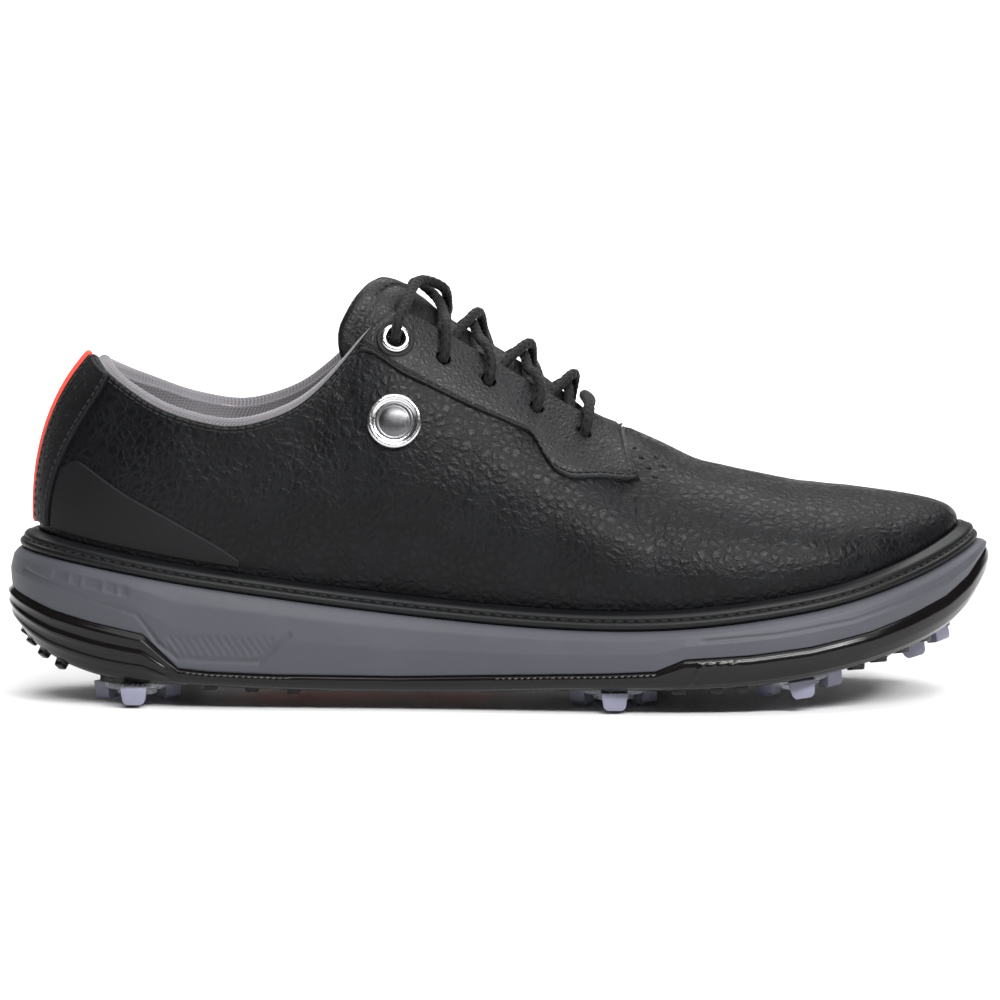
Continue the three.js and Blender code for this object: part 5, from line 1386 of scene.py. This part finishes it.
# ---------------------------------------------------------------- sole unit
WALL_OUTSIDE = 1.0
MIDSOLE_SIDE = 1.2
WALL_INSIDE = WALL_OUTSIDE + OUTSOLE_WALL + 0.4
SOLE_T = np.unique(np.concatenate([
    np.linspace(0, 1, 420), to_parameter(np.linspace(-112, -60, 60)), to_parameter(np.linspace(-4, 60, 70)),
]))


def ring_body(name, ts, rows, material, fills=5):
    """A solid of rings across the sole; rows holds insets and heights at ts, bottom first."""
    lateral, medial = (np.stack([level(side, ts, inset, z) for inset, z in rows], axis=1) for side in SIDES)
    medial = medial[:, ::-1]
    share = (np.arange(fills) + 1)[None, :, None] / (fills + 1)
    top = lateral[:, -1:] * (1 - share) + medial[:, :1] * share
    base = medial[:, -1:] * (1 - share) + lateral[:, :1] * share
    rings = np.concatenate([lateral, top, medial, base], axis=1)
    n, m = rings.shape[:2]
    around = arc_uv(rings)[..., 1]
    uv = np.stack([np.repeat(distances(lateral[:, 0]), m), around.ravel()], -1)
    return add_mesh(name, rings.reshape(-1, 3), tube_faces(n, m), material, uv)


def bar(x, low, high, soft):
    """1 between low and high, falling off over soft on both sides."""
    return smooth(x, low - soft, low) * (1 - smooth(x, high, high + soft))


def segment_distance(x, z, points):
    """Distance of points to a chain of straight segments in the side view."""
    best = np.full(np.shape(x), 1e9)
    for (x0, z0), (x1, z1) in zip(points[:-1], points[1:]):
        dx, dz = x1 - x0, z1 - z0
        share = np.clip(((x - x0) * dx + (z - z0) * dz) / (dx * dx + dz * dz), 0, 1)
        best = np.minimum(best, np.hypot(x - x0 - share * dx, z - z0 - share * dz))
    return best


MIDSOLE_PANEL = [(-107.5, 24.0), (-105.5, 20.9), (-99.2, 16.2), (-74.0, 15.3), (-66.7, 21.9), (-64.5, 23.6)]
MIDSOLE_LINES = [
    [(-149, 41.5), (-132, 35.6), (-112, 29.6), (-107.5, 24.0)],
    [(62, 23.4), (84, 25.2), (108, 29.0), (127, 34.4), (141, 39.6)],
]
MARKS = [(-139.0, 4.2), (-133.2, 2.6), (-129.0, 5.4), (-122.2, 3.4), (-117.4, 2.2)]  # plain dashes: x, length


def midsole_marks(x, z):
    """Depth of the lines pressed into the midsole's side."""
    depth = 0.55 * (1 - smooth(segment_distance(x, z, MIDSOLE_PANEL), 0.35, 0.95))
    for line in MIDSOLE_LINES:
        depth = np.maximum(depth, 0.4 * (1 - smooth(segment_distance(x, z, line), 0.3, 0.85)))
    inside = bar(x, -102.0, -70.5, 1.5) * bar(z, 17.6, 22.6, 0.7)
    depth = np.maximum(depth, inside * 0.42 * (0.5 + 0.5 * np.sin(2 * math.pi * (x + 0.7 * z) / 2.4)))
    middle = 41.0 + (x + 139.0) * -0.19
    for start, length in MARKS:
        dash = bar(x, start, start + length, 0.5) * bar(z, middle - 1.3, middle + 1.1, 0.4)
        depth = np.maximum(depth, 0.4 * dash)
    return depth


def midsole_rows(t):
    """The foam from its underside up its side wall and over into the footbed's cup."""
    ledge = wing(t) + GAP
    high = rim(t)
    x = to_x(t)
    shares = np.linspace(0, 1, 34)
    sway = np.interp(shares, [0, 0.2, 0.45, 0.8, 0.93, 1], [0, -0.25, -0.4, 0.6, 1.9, 3.2])
    rows = [(WALL_INSIDE + GAP + 0 * t, bottom(t) + OUTSOLE_PLATE + GAP), (WALL_INSIDE + GAP + 0 * t, ledge)]
    for share, s in zip(shares, sway):
        z = ledge + share * (high - ledge)
        rows.append((MIDSOLE_SIDE + s + midsole_marks(x, z), z))
    inner = FEATHER_INSET - CUP_GAP
    return rows + [(6.6 + 0 * t, high + 0.02), (inner + 0 * t, high), (inner + 0 * t, cup_floor(x))]


def chevrons(x, z, start, pitch, count, lean):
    """Ridges that lean with height, side by side along x."""
    made = 0 * x
    for i in range(count):
        made = np.maximum(made, 1 - smooth(np.abs(x - start - i * pitch - lean * z), 0.35, 0.85))
    return made


def outsole_relief(x, z, low, high):
    """Height of the ridges moulded on the outsole's side walls."""
    share = (z - low) / np.maximum(high - low, 0.1)
    heel = (1 - smooth(x, -104, -100)) * bar(share, 0.16, 0.9, 0.04)
    ridges = heel * (0.5 + 0.5 * np.sin(2 * math.pi * (share * 3.6 + 0.1))) ** 1.5 * 0.75
    arch = np.maximum(bar(x, -97, -66, 2), bar(x, -1.4, 46, 2)) * bar(share, 0.25, 0.85, 0.1)
    ribs = arch * (0.5 + 0.5 * np.sin(2 * math.pi * x / 1.9)) * 0.4
    front = smooth(x, 55, 58) * bar(share, 0.2, 0.85, 0.05)
    teeth = front * chevrons(x, z, 52.0, 3.2, 4, 0.55) * 0.6
    swell = front * 0.5 * np.sin(math.pi * np.clip(share, 0, 1)) * smooth(x, 66, 74)
    return ridges + ribs + teeth + swell


def outsole_rows(t):
    """The outsole from its tread up its side wall and down its inner face."""
    low, high = bottom(t), wing(t)
    x = to_x(t)
    rise = high - low
    rows = [(14.0 + 0 * t, low), (7.0 + 0 * t, low)]
    shares = np.linspace(0, 1, 30)
    insets = np.interp(shares, [0, 0.06, 0.2, 0.45, 0.75, 0.93, 1], [4.6, 3.0, 1.7, 0.6, 0, 0.25, 1.0])
    for share, inset in zip(shares, insets):
        z = low + share * rise
        rows.append((inset + 0.35 - outsole_relief(x, z, low, high) * 0.8, z))
    rows += [(WALL_OUTSIDE + 0.5 + 0 * t, high + 0.15), (WALL_INSIDE - 0.4 + 0 * t, high + 0.15)]
    return rows + [(WALL_INSIDE + 0 * t, high), (WALL_INSIDE + 0 * t, low + OUTSOLE_PLATE)]


def site_matrix(x, y, flat):
    """Place of a cleat, on the ground's level or along the sole's slope."""
    slope = 0 if flat else (bottom_level(x + 2) - bottom_level(x - 2)) / 4
    z = CLEAT_DROP if flat else bottom_level(x) - 0.1
    return frame_matrix((x, y, z), (-slope, 0, 1))


def block(name, matrix, sizes, bevel, material, taper=1.0):
    """A bevelled block: sizes along its own x, y, z, its top narrower by taper."""
    sx, sy, sz = (s / 2 for s in sizes)
    corners = [(x * (taper if z > 0 else 1), y * (taper if z > 0 else 1), z)
               for z in (-sz, sz) for x, y in ((-sx, -sy), (sx, -sy), (sx, sy), (-sx, sy))]
    faces = [[0, 3, 2, 1], [4, 5, 6, 7], [0, 1, 5, 4], [1, 2, 6, 5], [2, 3, 7, 6], [3, 0, 4, 7]]
    obj = add_mesh(name, placed(corners, matrix), faces, material)
    modified(obj, "BEVEL", width=bevel * MM, segments=3, limit_method="NONE")
    shade_smooth(obj)
    return obj


LUG_ROOT = 2
LUG_FLARE = 1.06
LUG_BEVEL = 0.45
LUG_TAPER = 0.8
LUG_CLEARANCE = 4.5


def lug(side, x, inset, length, width, depth, slant):
    """One tread lug, rooted in the outsole."""
    t = to_parameter(x)
    p, out = outline(side, t, inset)
    out = np.array([out[0], out[1], 0.0])
    down = unit(np.array([0, 0, -1.0]) + out * slant)
    centre = np.array([p[0], p[1], bottom(t) + 0.4]) + down * (depth - LUG_ROOT) / 2
    matrix = frame_matrix(centre, down, (-out[1], out[0], 0))
    sizes = (length * LUG_FLARE, width * LUG_FLARE, depth + LUG_ROOT)
    return block(f"lug_{side}_{x}", matrix, sizes, LUG_BEVEL, LOOK["outsole"], LUG_TAPER)


LUG_ROWS = [  # places along the sole, then inset, length, width, depth and slant
    ([-153.6, -150.5, -145.5, -139, -131.5], 6.2, 3.4, 3.6, LUG_DEPTH + 0.6, 0.75),
    ([-124], 7.5, 3.6, 4, LUG_DEPTH, 0.3),
    ([-90, -77, -64], 9.5, 4.6, 5, LUG_DEPTH - 0.6, 0),
    ([54, 66, 74, 112, 120, 128, 136, 143.5, 149.5], 7.5, 5, 4.6, LUG_DEPTH - 0.4, 0.15),
]
FLANGE_RADIUS = 10.0
RECESS_PLACE = (-40, 0, 4.1)
RECESS_SIZES = (77, 25.2, 6.2)


def lug_list():
    """The tread's lugs that keep clear of the cleats."""
    made = []
    for xs, inset, *rest in LUG_ROWS:
        for side in SIDES:
            for x in xs:
                p, _ = outline(side, to_parameter(x), inset)
                if all(math.hypot(sx - p[0], sy - p[1]) > CLEAT_RADIUS + LUG_CLEARANCE
                       for _, sx, sy, _ in CLEAT_SITES):
                    made.append(lug(side, x, inset, *rest))
    return made


def fuse(obj, others):
    """Joins others to obj and removes them; Blender leaves obj as it is where a mesh is open."""
    for other in others:
        modified(obj, "BOOLEAN", operation="UNION", solver="MANIFOLD", object=other)
        bpy.data.objects.remove(other)
    return obj


def site_drums(name, radius, low, high, material, sides):
    """The same drum at each cleat's place."""
    return [drum(f"{name}_{i}", radius, low, high, site_matrix(x, y, flat), material, sides)
            for i, (_, x, y, flat) in enumerate(CLEAT_SITES)]


def build_sole():
    socket = (RECEPTACLE_RADIUS + GAP, -6, RECEPTACLE_DEPTH + GAP, LOOK["hole_shade"], 32)
    midsole = ring_body("midsole_foam", SOLE_T, midsole_rows(SOLE_T), LOOK["foam"])
    carve(midsole, site_drums("socket_a", *socket))
    piece(midsole, SHOE, ["midsole"])
    outsole = ring_body("outsole_shell", SOLE_T, outsole_rows(SOLE_T), LOOK["outsole"])
    pads = site_drums("pad", FLANGE_RADIUS + 1.5, 0, OUTSOLE_PLATE - 0.4, LOOK["outsole"], 40)
    fuse(outsole, pads + lug_list())
    recess = block("recess", frame_matrix(RECESS_PLACE, (0, 0, 1)), RECESS_SIZES, 0.4, LOOK["hole_shade"])
    carve(outsole, site_drums("socket_b", *socket) + [recess])
    piece(outsole, SHOE, ["outsole"])


WELT_THREAD_INSET = 5.35


def build_welt():
    ts = np.linspace(0, 1, 330)
    inner = FEATHER_INSET - CUP_GAP
    section = [  # inset and share of the height: lower rib, groove, upper rib, lip against the leather
        (inner, 0), (5.0, 0), (4.35, 0.03), (3.9, 0.12), (3.75, 0.25), (3.95, 0.38), (4.45, 0.455),
        (5.2, 0.47), (5.55, 0.5), (5.2, 0.535), (5.05, 0.6), (5.2, 0.7), (5.6, 0.79), (6.2, 0.85),
        (7.2, 0.9), (7.9, 0.955), (8.5, 1.0), (inner, 1.0),
    ]
    halves = []
    for side in SIDES:
        low, high = rim(ts) + GAP, rim(ts) + WELT_HEIGHT
        rows = [level(side, ts, inset + 0 * ts, low + share * (high - low)) for inset, share in section]
        halves.append(np.stack(rows, axis=1))
    rings = np.concatenate([halves[0], halves[1][::-1][1:-1]])
    n, m = rings.shape[:2]
    uv = np.stack([np.repeat(distances(rings[:, 0]), m), np.tile(np.arange(m), n)], -1)
    welt = add_mesh("welt_band", rings.reshape(-1, 3), tube_faces(n, m, wrap=True), LOOK["rubber"], uv)
    piece(welt, SHOE, ["welt"])
    t = np.linspace(0.004, 0.996, 500)
    for side in SIDES:  # one line of thread runs in the groove
        low, high = rim(t) + GAP, rim(t) + WELT_HEIGHT
        path = level(side, t, WELT_THREAD_INSET + 0 * t, low + 0.5 * (high - low))
        _, out = outline(side, t, 0 * t)
        sew("welt_seam_" + side, path, vec(out[:, 0], out[:, 1], 0), "welt")


SOCK_LIP = [  # extra inset and share of the raised edge, from its crown down to the flat
    (0.5, 0.9), (1.0, 1.0), (1.7, 0.97), (3.0, 0.72), (4.4, 0.32), (5.6, 0.08), (7.5, 0.0),
]


def build_footbed():
    ks = np.linspace(0, LAST, 240)
    ts = column_parameter(ks)
    depth = lining_depth(ks, 0 * ks)
    foot = feather_x(ks)
    inset = FEATHER_INSET + depth + LINING + GAP + TOE_EASE * smooth(foot, 60, 125)
    rise = CUP_EDGE * (1 - smooth(foot, 0, 50))
    rows = [(inset, sock_z), (inset + 0.15, lambda x: sock_z(x) + SOCKLINER * 0.7)]
    for extra, share in SOCK_LIP:
        rows.append((inset + extra, lambda x, s=share: sock_z(x) + SOCKLINER + rise * s))
    bed = ring_body("footbed_cover", ts, rows, LOOK["footbed"], 9)
    piece(bed, SHOE, ["sockliner"])


def leg(name, outline_points, inner, outer, angle, material, bevel=0.35):
    """A leg drawn in the tangential plane and given its depth between two radii."""
    n = len(outline_points)
    c, s = math.cos(angle), math.sin(angle)
    points = [(-x * c - y * s, -x * s + y * c, z) for y in (inner, outer) for x, z in outline_points]
    faces = [list(range(n))[::-1], list(range(n, 2 * n))]
    faces += [[i, (i + 1) % n, n + (i + 1) % n, n + i] for i in range(n)]
    obj = add_mesh(name, np.array(points) - SHIFT, faces, material)
    return modified(obj, "BEVEL", width=bevel * MM, segments=2, limit_method="ANGLE",
                    angle_limit=math.radians(25))


def own(name, profile, material):
    """A turned body in a cleat's own frame."""
    return lathe(name, profile, frame_matrix(-SHIFT, (0, 0, 1)), material)


FLANGE = 2.1
LEG_SHORT = 1.1  # the body's legs end this much above the ground


def build_cleats():
    third = 2 * math.pi / 3
    low = -GAP - FLANGE
    tip = -CLEAT_DROP + LEG_SHORT
    body_leg = [(-4.2, low + 1.6), (4.2, low + 1.6), (3.4, tip + 1), (2.4, tip), (-2.4, tip), (-3.4, tip + 1)]
    r = FLANGE_RADIUS
    body = own("cleat_body", [
        (0, low), (r - 1.2, low), (r - 0.5, low + 0.2), (r, low + 0.7), (r, -GAP - 0.25), (r - 0.25, -GAP),
        (STEM_RADIUS, -GAP), (STEM_RADIUS, RECEPTACLE_DEPTH - 2), (STEM_RADIUS - 0.4, RECEPTACLE_DEPTH - 1.6),
        (0, RECEPTACLE_DEPTH - 1.6),
    ], LOOK["clear"])
    fuse(body, [leg(f"leg_{i}", body_leg, 8.2, CLEAT_RADIUS - 0.4, i * third + math.pi / 3, LOOK["clear"])
                for i in range(3)])
    high = -2 * GAP - FLANGE
    star_leg = [(-5.2, high), (3.4, high), (5.2, high - 1.6), (5.6, -CLEAT_DROP), (0.4, -CLEAT_DROP),
                (-1.4, high - 2.1), (-5.2, high - 0.9)]
    spoke = [(-2.6, high), (2.6, high), (2.2, high - 1.5), (-2.2, high - 1.5)]
    star = own("cleat_star", [
        (2.2, high), (2.2, high - 1.2), (2.5, high - 1.5), (5.9, high - 1.5), (6.2, high - 1.2), (6.2, high),
    ], LOOK["clear"])
    # The hub's ring is open inside, so these joins fail and the star stays a hub without arms.
    fuse(star, [part for i in range(3) for part in (
        leg(f"arm_{i}", star_leg, 9.6, CLEAT_RADIUS, i * third, LOOK["clear"], 0.3),
        leg(f"spoke_{i}", spoke, 2.5, 9.8, i * third, LOOK["clear"], 0.2))])
    body.data.materials.append(LOOK["accent"])
    for polygon in body.data.polygons:
        if polygon.center.z < (low - 0.05) * MM:
            polygon.material_index = 1  # the legs are tinted, the flange is clear
    for obj in (body, star):
        shade_smooth(obj)
        obj.data.set_sharp_from_angle(angle=math.radians(38))
    for name, x, y, flat in CLEAT_SITES:
        place = site_matrix(x, y, flat)
        place[:3, 3] = (place[:3, 3] + SHIFT) * MM
        for source, slot in ((body, "cleat_clear"), (star, "cleat_accent")):
            copy = new_object(f"{source.name}_{name}_part", source.data.copy())
            copy.data.transform(Matrix(place.tolist()))
            piece(copy, "cleat_" + name, [f"{source.name}_{name}"])
    for source in (body, star):
        bpy.data.objects.remove(source)


CAD_LOOKS = {  # nodes that keep the frame's own mesh
    "heel_counter": "stiffener", "toe_puff": "stiffener", "collar_foam": "padding", "lasting_board": "board",
    "shank_plate": "shank", "aglet_lateral": "aglet", "aglet_medial": "aglet",
    **{"receptacle_" + name: "receptacle" for name, *_ in CLEAT_SITES},
}


def paint_frame():
    for node, look in CAD_LOOKS.items():
        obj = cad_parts[node]
        for place in obj.material_slots:
            place.material = LOOK[look]


# ---------------------------------------------------------------- studio
WORLD_LIGHT = 0.06
LIGHTS = [  # name, place, size, watts and what it looks at
    ("wall", (0, 1.3, 1.7), (3.4, 0.5), 60, (0, 2.2, 0.1)),
    ("top", (0.1, 0.0, 1.7), (3.0, 1.6), 38, (0.05, 0, 0)),
    ("key", (0.9, -1.0, 1.0), (0.4, 0.3), 10, (0, 0, 0.06)),
    ("front", (0.3, -1.2, 1.0), (1.3, 0.2), 28, (0.03, 0, 0.05)),
]
FLOOR_HALF = 5
FLOOR_FRONT = -3.0
WALL_FOOT = 1.9  # where the floor begins to curve up
WALL_CURVE = 0.4
WALL_TOP = 0.62
CAMERA_DISTANCE = 1.3
CAMERA_ELEVATION = math.radians(5)
CAMERA_AIM = 0.0616  # height above the ground that it looks at
CAMERA_SENSOR = 36  # millimetres
CAMERA_MARGIN = 1.0174  # width of the view over the shoe's length


def aimed(name, data, place, target):
    """An object at place that looks at target."""
    obj = new_object(name, data)
    obj.location = place
    obj.rotation_euler = (Vector(target) - obj.location).to_track_quat("-Z", "Y").to_euler()
    return obj


def build_backdrop():
    """A white floor that curves up into a low wall behind the shoe."""
    profile = [(FLOOR_FRONT, 0.0)]
    for a in np.linspace(0, math.pi / 2, 13):
        profile.append((WALL_FOOT + WALL_CURVE * math.sin(a), WALL_CURVE - WALL_CURVE * math.cos(a)))
    profile.append((WALL_FOOT + WALL_CURVE, WALL_TOP))
    xs = np.linspace(-FLOOR_HALF, FLOOR_HALF, 11)
    points = np.array([[(x, y, z + CAD_BOX[0][2]) for x in xs] for y, z in profile]) / MM - SHIFT
    m = Nodes("backdrop_white", Roughness=0.6, Specular_IOR_Level=0.2)
    m.feed(Base_Color=m.mix(m.noise(3.0), (0.86, 0.86, 0.86), (0.88, 0.88, 0.88)))
    sweep_wall = add_mesh("backdrop", points.reshape(-1, 3), grid_faces(*points.shape[:2]), m.material)


def build_studio():
    scene = bpy.context.scene
    world = bpy.data.worlds.new("studio")
    world.use_nodes = True
    world.node_tree.nodes["Background"].inputs["Color"].default_value = (1, 1, 1, 1)
    world.node_tree.nodes["Background"].inputs["Strength"].default_value = WORLD_LIGHT
    scene.world = world
    scene.view_settings.view_transform = "Standard"
    build_backdrop()
    for name, place, size, power, target in LIGHTS:
        light = bpy.data.lights.new(name, "AREA")
        light.shape = "RECTANGLE"
        light.size, light.size_y = size
        light.energy = power
        aimed(name, light, place, target)


def build_camera():
    low, high = CAD_BOX
    target = Vector(((low[0] + high[0]) / 2, 0, low[2] + CAMERA_AIM))
    camera = bpy.data.cameras.new("camera")
    camera.sensor_width = CAMERA_SENSOR
    camera.lens = CAMERA_SENSOR * CAMERA_DISTANCE / ((high[0] - low[0]) * CAMERA_MARGIN)
    camera.clip_end = 50
    back = Vector((0, -math.cos(CAMERA_ELEVATION), math.sin(CAMERA_ELEVATION)))
    bpy.context.scene.camera = aimed("camera", camera, target + CAMERA_DISTANCE * back, target)


build_camera()
build_studio()
build_sole()
build_welt()
build_cleats()
build_upper()
build_lining()
build_eyestays()
build_films()
build_backstay()
build_collar_seam()
build_piping()
build_badge()
build_eyelets()
build_tongue()
build_lace()
build_footbed()
paint_frame()
